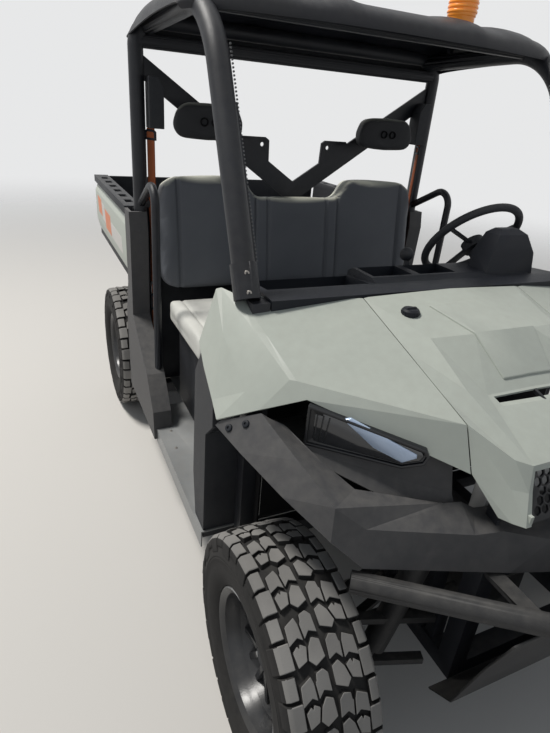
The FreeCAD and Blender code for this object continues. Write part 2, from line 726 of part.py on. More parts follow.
keep("arch_liners", pair(arch_shape().cut(chassis.Shape).cut(fender.Shape).cut(fascia.Shape)))

# Headlamps, let into the fascia's recess
keep("headlamps", pair(largest(lamp.cut(fender.Shape).cut(fascia.Shape).cut(NODES["arch_liners"].Shape))))

# Hood, with the legs that run down beside the grille

HOOD_ROWS = [
    [(0, 386, 1163), (105, 388, 1160), (284, 397, 1151), (300, 398, 1148)],
    [(0, 146, 1122), (105, 151, 1120), (230, 175, 1109), (300, 175, 1082)],
    [(0, 16, 1018), (158, 16, 1016), (232, 16, 1040), (300, 16, 1035)],
    [(0, -187, 956), (200, -187, 954), (235, -164, 962), (300, -72, 1009)],
    [(0, -212, 900), (217, -209, 900), (246, -186, 900), (300, -119, 907)],
    [(0, -249, 836), (238, -243, 836), (255, -219, 834), (270, -194, 834)],
]


def hood_shape():
    rows = []
    for row in HOOD_ROWS:
        half = [body_point(*point) for point in row]
        rows.append([Vector(-p.x, p.y, p.z) for p in reversed(half[1:])] + half)
    skin = faceted_panel(rows, size.panel_wall, body_point(0, 100, 700))
    mouth = prism([(-196, 942), (196, 942), (226, 820), (-226, 820)], "XZ",
                  FRONT_AXLE - 300, FRONT_AXLE - 120)
    slot = prism([(-150, 1035), (150, 1035), (142, 1004), (-142, 1004)], "XZ",
                 FRONT_AXLE - 60, FRONT_AXLE + 8)
    skin = skin.cut(mouth).cut(slot)
    hinge = at(0, FRONT_AXLE + HOOD_HINGE[0], HOOD_HINGE[1])
    low, high = HOOD_EAR
    ear = rod(at(low, hinge.y, hinge.z), at(high, hinge.y, hinge.z), 14)
    web = box(at(low, hinge.y - 44, hinge.z - 8), at(high, hinge.y, hinge.z + 14))
    bore = rod(at(low - 1, hinge.y, hinge.z), at(high + 1, hinge.y, hinge.z), HOOD_PIN + HOOD_PIN_PLAY)
    ear = joined([ear, web]).cut(bore)
    return joined([skin, ear, mirrored(ear)])


keep("hood", hood_shape())


def grille_shape():
    """Honeycomb mesh in a plain rim, which closes the mouth of the hood from behind."""
    front = [at(-206, FRONT_AXLE - 176, 948), at(206, FRONT_AXLE - 176, 948),
             at(234, FRONT_AXLE - 236, 836), at(-234, FRONT_AXLE - 236, 836)]
    plate = hull_prism(front, 6)
    # Two directions in the plate: across the vehicle and down its slope.
    across = Vector(1, 0, 0)
    down = Vector(0, front[3].y - front[0].y, front[3].z - front[0].z).normalize()
    through = across.cross(down)
    # Cells stand in staggered rows, five rows from the upper edge to the lower one.
    radius, web, edge = 11.5, 4.0, 16
    pitch = radius * math.sqrt(3) + web
    step = pitch * math.sqrt(3) / 2
    middle = Vector(0, front[0].y, front[0].z)
    cells = []
    for row in range(5):
        depth = edge + radius * 0.4 + row * step
        reach = 200 + 28 * depth / 127 - edge
        shift = pitch / 2 if row % 2 else 0
        for column in range(-9, 10):
            x = column * pitch + shift
            if abs(x) + radius > reach:
                continue
            centre = middle + across * x + down * depth
            corners = [centre + across * radius * math.sin(math.radians(60 * k))
                       + down * radius * math.cos(math.radians(60 * k)) for k in range(6)]
            face = Part.Face(Part.makePolygon(corners + corners[:1]))
            cells.append(face.extrude(through * 40.0).fuse(face.extrude(through * -40.0)))
    return plate.cut(NODES["hood"].Shape).cut(Part.makeCompound(cells))


keep("grille", grille_shape())


def latch_shape():
    """Quarter-turn latch on the hood's back corner, on the passenger's side, standing on the panel."""
    place = at(-215, FRONT_AXLE + 290, 0)
    return rod(at(place.x, place.y, 1120), at(place.x, place.y, 1152), 26)


latch_pieces = latch_shape().cut(NODES["hood"].Shape).Solids
keep("hood_latches", max(latch_pieces, key=lambda solid: solid.CenterOfMass.z))

# Front bumper bar, open at its swept ends
BUMPER_Y = FRONT + size.bumper_tube / 2


def bumper_shape():
    z = size.bumper_height
    path = [at(597, FRONT_AXLE - 134, z), at(224, BUMPER_Y, z),
            at(-224, BUMPER_Y, z), at(-597, FRONT_AXLE - 134, z)]
    bar = bent_bar(path, 110, size.bumper_tube / 2)
    core = bent_bar(path, 110, size.bumper_tube / 2 - size.bumper_wall)
    stays = []
    for side in (1, -1):
        x = size.frame_half_width * side
        stays.append(beam(at(x, RAIL_FRONT, z - 20), at(x, BUMPER_Y + 44, z - 20), 40, 12))
    return joined([bar] + stays).cut(core)


keep("front_bumper", bumper_shape().cut(chassis.Shape))

# Skid plate below the bumper bar
SKID_HALF = 340


def skid_shape():
    wall = size.panel_wall
    y, z = RAIL_FRONT, size.frame_clearance
    line = [(y - 2, z - 6), (y - 70, z + 40), (BUMPER_Y + 70, 545), (BUMPER_Y + 32, 660)]
    back = [(u + float(wall), v + 3) for u, v in reversed(line)]
    return prism(line + back, "YZ", -SKID_HALF, SKID_HALF)


keep("front_skid_plate", skid_shape().cut(NODES["front_bumper"].Shape).cut(chassis.Shape))

RADIATOR_LOW = size.bumper_height - 5 + size.rest_gap
radiator = bound_box("radiator", (-size.radiator_width / 2, RADIATOR_BACK - size.radiator_depth, RADIATOR_LOW),
                     (size.radiator_width / 2, RADIATOR_BACK, RADIATOR_LOW + size.radiator_height))
radiator.Label = "radiator"
NODES["radiator"] = radiator
doc.recompute()

# Dashboard: one moulding with open bins, and the instrument pod in front of the driver
TILT = math.radians(float(size.steering_tilt))
STEER_CENTRE = at(371, FRONT_AXLE + 717, 1224)
COLUMN_WAY = Vector(0, -math.cos(TILT), -math.sin(TILT))
COLUMN_RADIUS = 30


DASH_FOOT = 230
POD_X = float(STEER_CENTRE.x)


def dash_shape():
    y = FRONT_AXLE
    top = size.cowl_height
    front, back = y + 404, DASH_BACK
    wall = FIREWALL + size.panel_wall
    outline = [(front, top - 60), (front, top + 6), (y + 470, top + 8), (back - 40, top - 8), (back, top - 25),
               (back - 12, top - 120), (back - 108, top - DASH_FOOT), (wall, top - DASH_FOOT), (wall, top - 60)]
    moulding = prism(outline, "YZ", -(CAB_POST - 28), CAB_POST - 28).cut(fender.Shape)
    # Raised middle, with a sloped front, that carries the bins and the pod.
    middle = prism([(y + 430, top - 20), (y + 520, top + 16), (back - 34, top + 16), (back - 8, top),
                    (back - 8, top - 60), (y + 430, top - 60)], "YZ", -196, POD_X + 86)
    moulding = moulding.fuse(middle)
    # Open bins. Columns: low x, high x, place behind the axle from, to, depth.
    for low, high, near, far, deep in [(-556, -216, 500, 636, 74), (-180, -30, 532, 636, 62),
                                       (0, 150, 532, 636, 62)]:
        moulding = moulding.cut(box(at(low, y + near, top + 8 - deep), at(high, y + far, top + 80)))
    column = rod(STEER_CENTRE, STEER_CENTRE + COLUMN_WAY * 330, COLUMN_RADIUS)
    # Instrument pod: narrow at the top, raked back at its front. Rows run from its foot up.
    rows = []
    for half, near, far, height in ((110, 506, 596, top), (98, 510, 598, top + 76), (66, 528, 592, top + 136),
                                    (40, 548, 580, top + 152)):
        rows.append([at(POD_X - half, y + near, height), at(POD_X + half, y + near, height),
                     at(POD_X + half, y + far, height), at(POD_X - half, y + far, height)])
    pod = Part.makeLoft([Part.makePolygon(row + row[:1]) for row in rows], True, True)
    return largest(joined([moulding, pod]).cut(column))


dash = keep("dashboard", dash_shape())

# Steering wheel, column, rack and tie rods


def steering_wheel_shape():
    ring = Part.makeTorus(float(size.steering_radius), float(size.grip_radius), STEER_CENTRE, COLUMN_WAY)
    hub_start = STEER_CENTRE + COLUMN_WAY * 6
    hub = rod(hub_start, STEER_CENTRE + COLUMN_WAY * 40, 42)
    shaft = rod(STEER_CENTRE + COLUMN_WAY * 40, STEER_CENTRE + COLUMN_WAY * 110, 11)
    pieces = [ring, hub, shaft]
    up = Vector(0, -math.sin(TILT), math.cos(TILT))
    for turn in (155, 25, 270):
        way = Vector(1, 0, 0) * math.cos(math.radians(turn)) + up * math.sin(math.radians(turn))
        tip = STEER_CENTRE + way * float(size.steering_radius)
        pieces.append(beam(STEER_CENTRE + COLUMN_WAY * 22, tip, 34, 9))
    return joined(pieces)


keep("steering_wheel", steering_wheel_shape())


def driver_controls_shape():
    """Steering column, pedals and gear selector."""
    start = STEER_CENTRE + COLUMN_WAY * (40 + float(size.running_gap))
    column = rod(start, STEER_CENTRE + COLUMN_WAY * 330, COLUMN_RADIUS)
    pieces = [column.cut(rod(start, STEER_CENTRE + COLUMN_WAY * 114, 11 + size.rest_gap))]
    for x in (250, 400):
        arm = beam(at(x, FIREWALL, 724), at(x, FIREWALL + 96, 500), 24, 12)
        pad = box(at(x - 42, FIREWALL + 88, 455), at(x + 42, FIREWALL + 100, 525))
        pieces.append(largest(joined([arm, pad]).cut(NODES["floor_pan"].Shape)))
    lever = rod(at(42, FRONT_AXLE + 640, 1120), at(42, FRONT_AXLE + 664, 1180), 9)
    knob = Part.makeSphere(24, at(42, FRONT_AXLE + 668, 1194))
    pieces.append(largest(joined([lever, knob]).cut(dash.Shape)))
    return Part.makeCompound(pieces)


keep("driver_controls", driver_controls_shape())

RACK_Y = FRONT_AXLE + 118
TIE_END = KINGPIN - 16 - 80


def rack_shape():
    z = size.tyre_radius + 20
    housing = rod(at(-210, RACK_Y, z), at(210, RACK_Y, z), 27)
    rods = [rod(at(200 * s, RACK_Y, z), at(TIE_END * s, RACK_Y, z), 9) for s in (1, -1)]
    return joined([housing] + rods)


keep("steering_rack", rack_shape().cut(chassis.Shape))

HOOP_R = size.hoop_tube / 2
HOOP_BEND = 90

# Suspension
ARM_IN = size.frame_half_width + 18


def arms_shape():
    """Pairs of A arms at every wheel, with the rear uprights and stubs."""
    pieces = []
    for axle, tip, half in ((FRONT_AXLE, KINGPIN, KNUCKLE_HALF), (REAR_AXLE, KINGPIN - 40, KNUCKLE_HALF)):
        rear = axle is REAR_AXLE
        arms = []
        for level in (ARM_LOW, ARM_HIGH):
            knob = rod(at(tip, axle, level - ARM_TIP), at(tip, axle, level + ARM_TIP), 24)
            arms.append(knob)
            for spread in (-110, 110):
                arms.append(beam(at(ARM_IN, axle + spread, level), at(tip, axle, level), 26, 20))
        if rear:
            z = size.tyre_radius
            arms.append(box(at(tip - half, axle - 34, ARM_LOW - ARM_TIP),
                            at(tip + half, axle + 34, ARM_HIGH + ARM_TIP)))
            arms.append(rod(at(tip, axle, z), at(SPINDLE_END, axle, z), size.spindle_radius))
            pieces.append(joined(arms))
        else:
            pieces.append(joined(arms[:3]))
            pieces.append(joined(arms[3:]))
    both = []
    for piece in pieces:
        piece = piece.cut(chassis.Shape)
        both += piece.Solids
        both += mirrored(piece).Solids
    return Part.makeCompound(both)


keep("suspension_arms", arms_shape())


def shocks_shape():
    """Coil-over dampers, from the lower arms up to the frame."""
    pieces = []
    arms = NODES["suspension_arms"].Shape
    for axle, top_x, top_z in (
            (FRONT_AXLE + SHOCK_ALONG[0], 290, SHOCK_TOP - 16),
            (REAR_AXLE + SHOCK_ALONG[1], 268, UPPER_RAIL - 20)):
        low = at(ARM_IN + (KINGPIN - ARM_IN) * 0.48, axle, ARM_LOW + 10)
        high = at(top_x, axle, top_z)
        way = high - low
        body = joined([rod(low, high, 14), rod(low + way * 0.12, low + way * 0.80, 34)])
        body = body.cut(arms).cut(chassis.Shape)
        pieces += body.Solids
        pieces += mirrored(body).Solids
    return Part.makeCompound(pieces)


keep("shock_absorbers", shocks_shape())


def driveline_shape():
    """Gear cases on both axles, their half shafts and the shaft between them, under the cross tubes."""
    z = size.tyre_radius + 12
    low = size.frame_clearance - 38
    front_case = box(at(-85, FRONT_AXLE - 90, low), at(85, FRONT_AXLE + 84, z + 90))
    front_nose = box(at(-40, RAIL_FRONT + size.frame_tube, size.frame_clearance),
                     at(40, FRONT_AXLE - 88, FLOOR))
    rear_case = box(at(-110, REAR_AXLE - 160 + size.frame_tube / 2, low),
                    at(110, REAR_AXLE + 160 - size.frame_tube / 2, z + 110))
    shaft_z = size.frame_clearance - 18
    shaft = rod(at(0, FRONT_AXLE + 60, shaft_z), at(0, REAR_AXLE - 60, shaft_z), 15)
    pieces = [front_case, front_nose, rear_case, shaft]
    for axle, out in ((FRONT_AXLE, KINGPIN - KNUCKLE_HALF - 20), (REAR_AXLE, KINGPIN - 40 - KNUCKLE_HALF)):
        for side in (1, -1):
            pieces.append(rod(at(0, axle, z), at(out * side, axle, z), 14))
    return joined(pieces)


keep("drive_shafts", driveline_shape().cut(chassis.Shape).cut(NODES["suspension_arms"].Shape))

CAB_WALL = PILLAR_Y + HOOP_R + size.rest_gap
engine = bound_box("engine_block", (-size.engine_width / 2, CAB_WALL + size.panel_wall + 50, FLOOR),
                   (size.engine_width / 2, REAR_AXLE - 150, FLOOR + size.engine_height))
engine.Label = "engine_block"
NODES["engine_block"] = engine

# Silencer can, lying across the rails behind the rear axle
MUFFLER_RADIUS = 60
MUFFLER_Y = RAIL_BACK - 118
muffler = doc.addObject("Part::Cylinder", "muffler")
muffler.Radius = MUFFLER_RADIUS
muffler.setExpression("Height", (size.frame_half_width * 2 + 20).text)
muffler.Placement = Placement(at(-(size.frame_half_width + 10), MUFFLER_Y, FLOOR + MUFFLER_RADIUS),
                              Rotation(Vector(0, 1, 0), 90))
muffler.setExpression("Placement.Base.x", (-(size.frame_half_width + 10)).text)
muffler.setExpression("Placement.Base.y", (MUFFLER_Y).text)
muffler.setExpression("Placement.Base.z", (FLOOR + MUFFLER_RADIUS).text)
NODES["muffler"] = muffler
doc.recompute()

# Cab frame


def rear_hoop_shape():
    """Hoop behind the seats, with a tube over the rear window and one behind the shoulders."""
    x, y = size.rear_hoop_half_width, PILLAR_Y
    top = size.roof_rail_height
    path = [at(x, y, FLOOR), at(x, y, top), at(-x, y, top), at(-x, y, FLOOR)]
    pieces = [bent_bar(path, HOOP_BEND, HOOP_R)]
    for height in (1215, size.rear_header_height):
        pieces.append(rod(at(-x, y, height), at(x, y, height), size.rail_tube / 2))
    return joined(pieces)


rear_hoop = keep("rops_rear", rear_hoop_shape())


PILLAR_X = 637
PILLAR_FOOT_Y = FRONT_AXLE + 446
PILLAR_BEND = 300


def front_rops_shape():
    """Raked front pillars that bend into the roof rails, with a cross tube over the windscreen."""
    pieces = []
    z = size.roof_rail_height
    radius = size.rops_tube / 2
    foot = at(PILLAR_X, PILLAR_FOOT_Y, size.pillar_foot_height)
    corner = at(PILLAR_X + 9, cab_place(0.152), z)
    way = (corner - foot).normalize()
    bar = bent_bar([foot, corner, at(size.rear_hoop_half_width - 49, PILLAR_Y, z - 18)], PILLAR_BEND, radius)
    # Casting round the foot of the pillar, and the seal strip that runs up behind it.
    casting = rod(foot, foot + way * 96, radius + 5)
    inner = at(-radius, 14, 0)
    strip = beam(foot + inner + way * 30, foot + inner + way * 520, 20, 16)
    # Stubs that carry the roof.
    stubs = []
    for share in (0.52, 0.83):
        stubs.append(rod(at(655, cab_place(share), z), at(655, cab_place(share), z + 38), 14))
    side = joined([bar, casting, strip] + stubs)
    header_y = cab_place(0.30)
    header = rod(at(-PILLAR_X, header_y, z), at(PILLAR_X, header_y, z), size.rail_tube / 2)
    return joined([side, mirrored(side), header])


front_rops = front_rops_shape().cut(rear_hoop.Shape).cut(chassis.Shape).cut(fender.Shape)

BRACE_FRONT = PILLAR_Y - size.brace_wall / 2


def brace_shape():
    """V of flat bars between the rear pillars."""
    half = float(size.brace_bar) / 2
    foot, top = Vector(0, 0, 1275), Vector(float(size.rear_hoop_half_width), 0, 1735)
    way = (top - foot).normalize()
    lift = Vector(-way.z, 0, way.x) * half
    low, high = foot - lift, foot + lift
    crown = high.z + high.x * way.z / way.x * -1
    outline = [(0, low.z - 8), (low.x + 10, low.z - 8), ((top - lift).x, (top - lift).z),
               ((top + lift).x, (top + lift).z), (0, crown)]
    right = [(-u, v) for u, v in reversed(outline[1:-1])]
    bars = prism(outline + right, "XZ", BRACE_FRONT, BRACE_FRONT + size.brace_wall)
    # Lugs on the bars, each with its bolt hole, that the headrests' brackets are made for.
    lug = prism([(128, 1370), (132, 1488), (150, 1500), (262, 1500), (300, 1440)], "XZ",
                BRACE_FRONT, BRACE_FRONT + size.brace_wall)
    lug = lug.cut(rod(at(165, BRACE_FRONT - 1, 1470), at(165, PILLAR_Y + size.brace_wall, 1470), 9))
    return joined([bars, lug, mirrored(lug)])


brace = keep("v_brace", brace_shape().cut(rear_hoop.Shape))


# Middle of each headrest, from the centre line.
HEADREST_X = (408, -446)


def headrest_shape(side):
    """Wedge-shaped pad with two finger holes, drawn about its middle, on a post bolted to the brace."""
    front, back = PILLAR_Y - 126, PILLAR_Y - 46
    outline = [(-128, 1606), (-98, 1619), (100, 1619), (134, 1590), (156, 1530), (140, 1492), (112, 1476),
               (-10, 1471), (-126, 1480), (-150, 1498), (-154, 1548)]
    pad = prism([(u * side, v) for u, v in outline], "XZ", front, back)
    rim_edges = [e for e in pad.Edges if e.CenterOfMass.y < float(front) + 0.1]
    pad = pad.makeFillet(12, rim_edges)
    holes = [rod(at(x, front - 1, 1546), at(x, front + 34, 1546), 14) for x in (-22, 24)]
    post = beam(at(0, back - 2, 1530), at(0, BRACE_FRONT, 1530), 60)
    return joined([pad.cut(Part.makeCompound(holes)), post])


headrests = []
for middle in HEADREST_X:
    headrest = headrest_shape(1 if middle > 0 else -1)
    headrest.translate(Vector(middle, 0, 0))
    headrests.append(largest(headrest.cut(brace.Shape)))
keep("headrests", Part.makeCompound(headrests))

# Seats

cushion_front = SEAT_REAR - size.cushion_length
cushion_outline = [
    (SEAT_REAR, CUSHION_BOTTOM), (SEAT_REAR, size.seat_height - 8), (SEAT_REAR - 10, size.seat_height),
    (cushion_front + 60, size.seat_height), (cushion_front + 12, size.seat_height - 22),
    (cushion_front, size.seat_height - 60), (cushion_front + 14, CUSHION_BOTTOM),
]
driver_body = padded_body("driver_cushion", "YZ_Plane", cushion_outline,
                          size.seat_half_width - size.cushion_split - 5, offset=size.cushion_split + 5)
name_body(driver_body, "driver_cushion")
passenger_body = padded_body("passenger_cushion", "YZ_Plane", cushion_outline,
                             size.seat_half_width + size.cushion_split - 5, offset=-size.seat_half_width)
name_body(passenger_body, "passenger_cushion")


def seat_base_shape():
    """Open-topped bin that carries the cushions."""
    wall = size.seat_base_wall
    x = size.seat_half_width - 50
    low, high = FLOOR + size.panel_wall, CUSHION_BOTTOM - size.rest_gap
    out = box(at(-x, cushion_front + 70, low), at(x, SEAT_REAR - 12, high))
    inner = box(at(-x + wall, cushion_front + 70 + wall, low + wall),
                at(x - wall, SEAT_REAR - 12 - wall, high + 1))
    return out.cut(inner)


keep("seat_base", seat_base_shape())

SEAT_BACK_X = 650
SEAT_BACK_CORNER = 66


def seat_back_outline():
    """Half of the back's outline, from the bottom corner up to the dip; quarter rounds at the corners."""
    top, x, corner = size.seat_back_height, SEAT_BACK_X, SEAT_BACK_CORNER
    points = []
    for middle_x, middle_z, start in ((x - corner, corner, -90), (x - corner, top - corner, 0)):
        for step in range(4):
            turn = math.radians(start + step * 30)
            points.append((middle_x + corner * math.cos(turn), middle_z + corner * math.sin(turn)))
    return points + [(266, top), (232, top - size.seat_back_dip * 0.3), (190, top - size.seat_back_dip)]


back_half = seat_back_outline()
back_outline = back_half + [(-u, v) for u, v in reversed(back_half)]
seat_back = padded_body("seat_back", "XZ_Plane", back_outline, size.seat_back_thickness)
seat_back.Placement = Placement(at(0, SEAT_REAR + 12 + size.seat_back_thickness, size.seat_height + 20),
                                Rotation(Vector(1, 0, 0), -float(size.seat_back_lean)))
name_body(seat_back, "seat_back")
doc.recompute()

# Cab side panels behind the door openings, and the wall behind the seat

# Columns: place along the vehicle, height.
panel_outline = [
    (PILLAR_Y + 66, 1184), (PILLAR_Y - 35, 1184), (PILLAR_Y - 50, 1107), (PILLAR_Y - 35, 729),
    (PILLAR_Y - 134, 660), (PILLAR_Y - 310, 557), (PILLAR_Y - 418, 431), (PILLAR_Y - 435, FLOOR - 40),
    (REAR_AXLE - 420, FLOOR - 40), (REAR_AXLE - 400, 700), (REAR_AXLE - 470, 860),
]
PANEL_OUT = size.bed_half_width
PANEL_IN = size.seat_half_width + 51
PANEL_WALL = 14


def cab_side_shape():
    """Moulded panel with a flange along its front edge, open on its inner side."""
    whole = prism(panel_outline, "YZ", PANEL_IN, PANEL_OUT)
    low = FLOOR - 41
    hollow = [(PILLAR_Y + 67, 1185), (PILLAR_Y - 20, 1185), (PILLAR_Y - 36, 1107), (PILLAR_Y - 20, 722),
              (PILLAR_Y - 126, 647), (PILLAR_Y - 300, 546), (PILLAR_Y - 405, 424), (PILLAR_Y - 421, low),
              (REAR_AXLE - 399, low), (REAR_AXLE - 385, 703), (REAR_AXLE - 455, 862)]
    return whole.cut(prism(hollow, "YZ", PANEL_IN - 1, PANEL_OUT - PANEL_WALL))


cab_side = keep("cab_side_panels", pair(largest(cab_side_shape().cut(rear_hoop.Shape).cut(chassis.Shape))))
HIP_BAR_FOOT = 500
HIP_BEND = 62


def hip_bar_shape():
    """Bar beside the hips, from the rear pillar forward and down to the side panel's flange."""
    x, y = size.rear_hoop_half_width, PILLAR_Y
    path = [at(x, y, 1209), at(x, y - 284, 1352), at(x, y - 278, HIP_BAR_FOOT)]
    return bent_bar(path, HIP_BEND, size.hip_tube / 2)


keep("hip_bars", pair(largest(hip_bar_shape().cut(rear_hoop.Shape).cut(cab_side.Shape))))


def sill_shape():
    sill = prism(sill_outline, "XZ", FIREWALL + 84, SILL_BACK)
    return largest(sill.cut(chassis.Shape).cut(cab_side.Shape))


keep("rocker_panels", pair(sill_shape()).cut(NODES["arch_liners"].Shape))


def cab_wall_shape():
    x = size.rear_hoop_half_width + HOOP_R
    return box(at(-x, CAB_WALL, FLOOR), at(x, CAB_WALL + size.panel_wall, 1190))


keep("cab_rear_wall", cab_wall_shape())

# Seat belts: a housing hung from each end of the brace, its webbing, and the anchor at the pillar's foot
BELT_X = size.rear_hoop_half_width - 42
BELT_Y = PILLAR_Y - HOOP_R - 6
BELT_HALF = 23
BELT_TURN = 64
ANCHOR_Z = 620
GUIDE_LOW = 1508


def belt_shape():
    """Flat webbing, turned towards the shoulder, with its anchor on the rear pillar."""
    turn = math.radians(BELT_TURN)
    along = Vector(math.cos(turn), math.sin(turn), 0)
    thick = Vector(math.sin(turn), -math.cos(turn), 0) * 1.5
    middle = at(BELT_X, BELT_Y, 0)
    corners = [middle + along * BELT_HALF + thick, middle - along * BELT_HALF + thick,
               middle - along * BELT_HALF - thick, middle + along * BELT_HALF - thick]
    run = prism([(p.x, p.y) for p in corners], "XY", ANCHOR_Z, GUIDE_LOW)
    anchor = box(at(BELT_X - 12, PILLAR_Y - 40, ANCHOR_Z),
                 at(size.rear_hoop_half_width, PILLAR_Y - 10, ANCHOR_Z + 40))
    return largest(joined([run, anchor]).cut(rear_hoop.Shape))


belts = keep("seat_belts", pair(belt_shape()))


def reel_shape():
    """Housing that hangs from the brace beside the rear pillar."""
    low, x = GUIDE_LOW, BELT_X - 20
    outline = [(x - 29, low), (x + 29, low), (x + 29, 1690), (x - 6, 1690), (x - 29, 1650)]
    return prism(outline, "XZ", PILLAR_Y - 66, BRACE_FRONT + size.brace_wall)


keep("belt_reels", pair(largest(reel_shape().cut(rear_hoop.Shape).cut(brace.Shape))))

# Roof. Columns: distance from the centre line, place behind the front axle, height.
ROOF_ROWS = [
    [(0, 756, 1862), (330, 764, 1860), (600, 800, 1854), (684, 850, 1850), (700, 880, 1840)],
    [(0, 776, 1900), (330, 786, 1898), (604, 818, 1890), (694, 862, 1876), (712, 884, 1850)],
    [(0, 900, 1930), (330, 905, 1929), (620, 925, 1925), (708, 940, 1898), (720, 950, 1850)],
    [(0, 1120, 1942), (330, 1120, 1940), (630, 1120, 1930), (714, 1120, 1902), (724, 1120, 1850)],
    [(0, 1380, 1940), (330, 1380, 1938), (630, 1380, 1928), (714, 1380, 1900), (724, 1380, 1834)],
    [(0, 1520, 1920), (330, 1520, 1919), (622, 1512, 1910), (712, 1500, 1880), (724, 1500, 1824)],
    [(0, 1588, 1868), (330, 1588, 1867), (612, 1580, 1858), (716, 1560, 1842), (734, 1553, 1818)],
    [(0, 1600, 1822), (330, 1600, 1821), (606, 1590, 1818), (712, 1570, 1814), (730, 1564, 1810)],
]


def roof_point(across, along, height):
    """Place on the roof, which is as long as the cab."""
    reach = FRONT_AXLE + along
    if along > 1120:
        reach = PILLAR_Y + along - 1531
    elif along > 900:
        reach = cab_place((along - 668) / 863)
    return at(across, reach, height)


def roof_shape():
    rows = []
    for row in ROOF_ROWS:
        half = [roof_point(*point) for point in row]
        rows.append([Vector(-p.x, p.y, p.z) for p in reversed(half[1:])] + half)
    skin = faceted_panel(rows, size.panel_wall, body_point(0, 1150, 1500))
    # Raised ribs that stiffen the roof. Columns: inner and outer distance from the centre line.
    ribs = []
    for low, high in ((110, 215), (420, 540)):
        for start, length in ((0.24, 0.34), (0.66, 0.26)):
            near, far = cab_place(start), cab_place(start + length)
            rib = prism([(low, near), (high, near), (high - 16, far), (low + 16, far)], "XY", 1915, 1952)
            ribs += [rib, mirrored(rib)]
    under = prism([(-800, PILLAR_Y + 100), (800, PILLAR_Y + 100), (800, DASH_BACK), (-800, DASH_BACK)],
                  "XY", 1900, 1922)
    return joined([skin] + [rib.cut(under) for rib in ribs])


roof = keep("roof", roof_shape().cut(rear_hoop.Shape))
keep("rops_front", largest(front_rops.cut(roof.Shape)))


def beacon_shape():
    """Ribbed lens on a round foot, bolted down between two ribs of the roof."""
    x, y = 320, cab_place(0.334)
    low = ROOF_ROWS[2][1][2] - 4
    foot = rod(at(x, y, low), at(x, y, low + 26), size.beacon_radius - 6)
    lens = rod(at(x, y, low + 26), at(x, y, low + size.beacon_rise), size.beacon_radius - 3)
    pieces = [foot, lens]
    for step in range(6):
        rib = low + 36 + step * 14
        pieces.append(rod(at(x, y, rib), at(x, y, rib + 7), size.beacon_radius))
    return joined(pieces).cut(roof.Shape)


keep("beacon", largest(beacon_shape()))

# Cargo bed

TAILGATE_FRONT = BACK - size.tailgate_wall
# Hinge of the tailgate, on two lugs under the end of the bed's floor.
GATE_Y = BACK - size.tailgate_wall / 2
GATE_Z = BED_FLOOR + 1
GATE_LUG_X = 420


def bed_shape():
    x = size.bed_half_width - size.bed_skin
    wall = size.bed_wall
    low, high = BED_UNDER, size.bed_top
    out = box(at(-x, BED_FRONT, low), at(x, TAILGATE_FRONT - size.running_gap, high))
    inner = box(at(-x + wall, BED_FRONT + 40, BED_FLOOR), at(x - wall, BACK, high + 1))
    tub = out.cut(inner)
    rail = box(at(x - wall, BED_FRONT, high - 34), at(size.bed_half_width, BACK - 2, high))
    tub = joined([tub, rail, mirrored(rail)])
    slots = []
    for step in range(6):
        y = BED_FRONT + 90 + step * 150
        slots.append(box(at(x - wall + 18, y, high - 22), at(x - 8, y + 70, high + 1)))
    for slot in slots:
        tub = tub.cut(slot).cut(mirrored(slot))
    ear_x = size.frame_half_width + size.frame_tube / 2 + 1
    ear = joined([rod(at(ear_x, BED_HINGE_Y, UPPER_RAIL), at(ear_x + 12, BED_HINGE_Y, UPPER_RAIL), 22),
                  box(at(ear_x, BED_HINGE_Y - 22, UPPER_RAIL),
                      at(ear_x + 12, BED_HINGE_Y + 22, BED_UNDER + 1))])
    ear = ear.cut(rod(at(ear_x - 1, BED_HINGE_Y, UPPER_RAIL), at(ear_x + 13, BED_HINGE_Y, UPPER_RAIL),
                      BED_PIN + size.rest_gap))
    lug = joined([
        box(at(GATE_LUG_X - 8, TAILGATE_FRONT - 40, BED_UNDER - 10),
            at(GATE_LUG_X + 8, GATE_Y, BED_UNDER + 1)),
        box(at(GATE_LUG_X - 8, GATE_Y - 11, BED_UNDER - 10), at(GATE_LUG_X + 8, GATE_Y + 11, GATE_Z)),
        rod(at(GATE_LUG_X - 8, GATE_Y, GATE_Z), at(GATE_LUG_X + 8, GATE_Y, GATE_Z), 11),
        rod(at(GATE_LUG_X - 20, GATE_Y, GATE_Z), at(GATE_LUG_X + 20, GATE_Y, GATE_Z), 5),
    ])
    return joined([tub, ear, mirrored(ear), lug, mirrored(lug)])


keep("cargo_bed", bed_shape())

skin_top, skin_low = size.bed_top - 36, size.bed_top - 293
skin_outline = [(BED_FRONT, skin_top), (BACK - 4, skin_top), (BACK - 12, skin_low + 40),
                (BACK - 40, skin_low), (BED_FRONT, skin_low)]
bed_skin = padded_body("bed_skin", "YZ_Plane", skin_outline, size.bed_skin,
                       offset=size.bed_half_width - size.bed_skin)
both_sides("bed_side_panels", bed_skin)

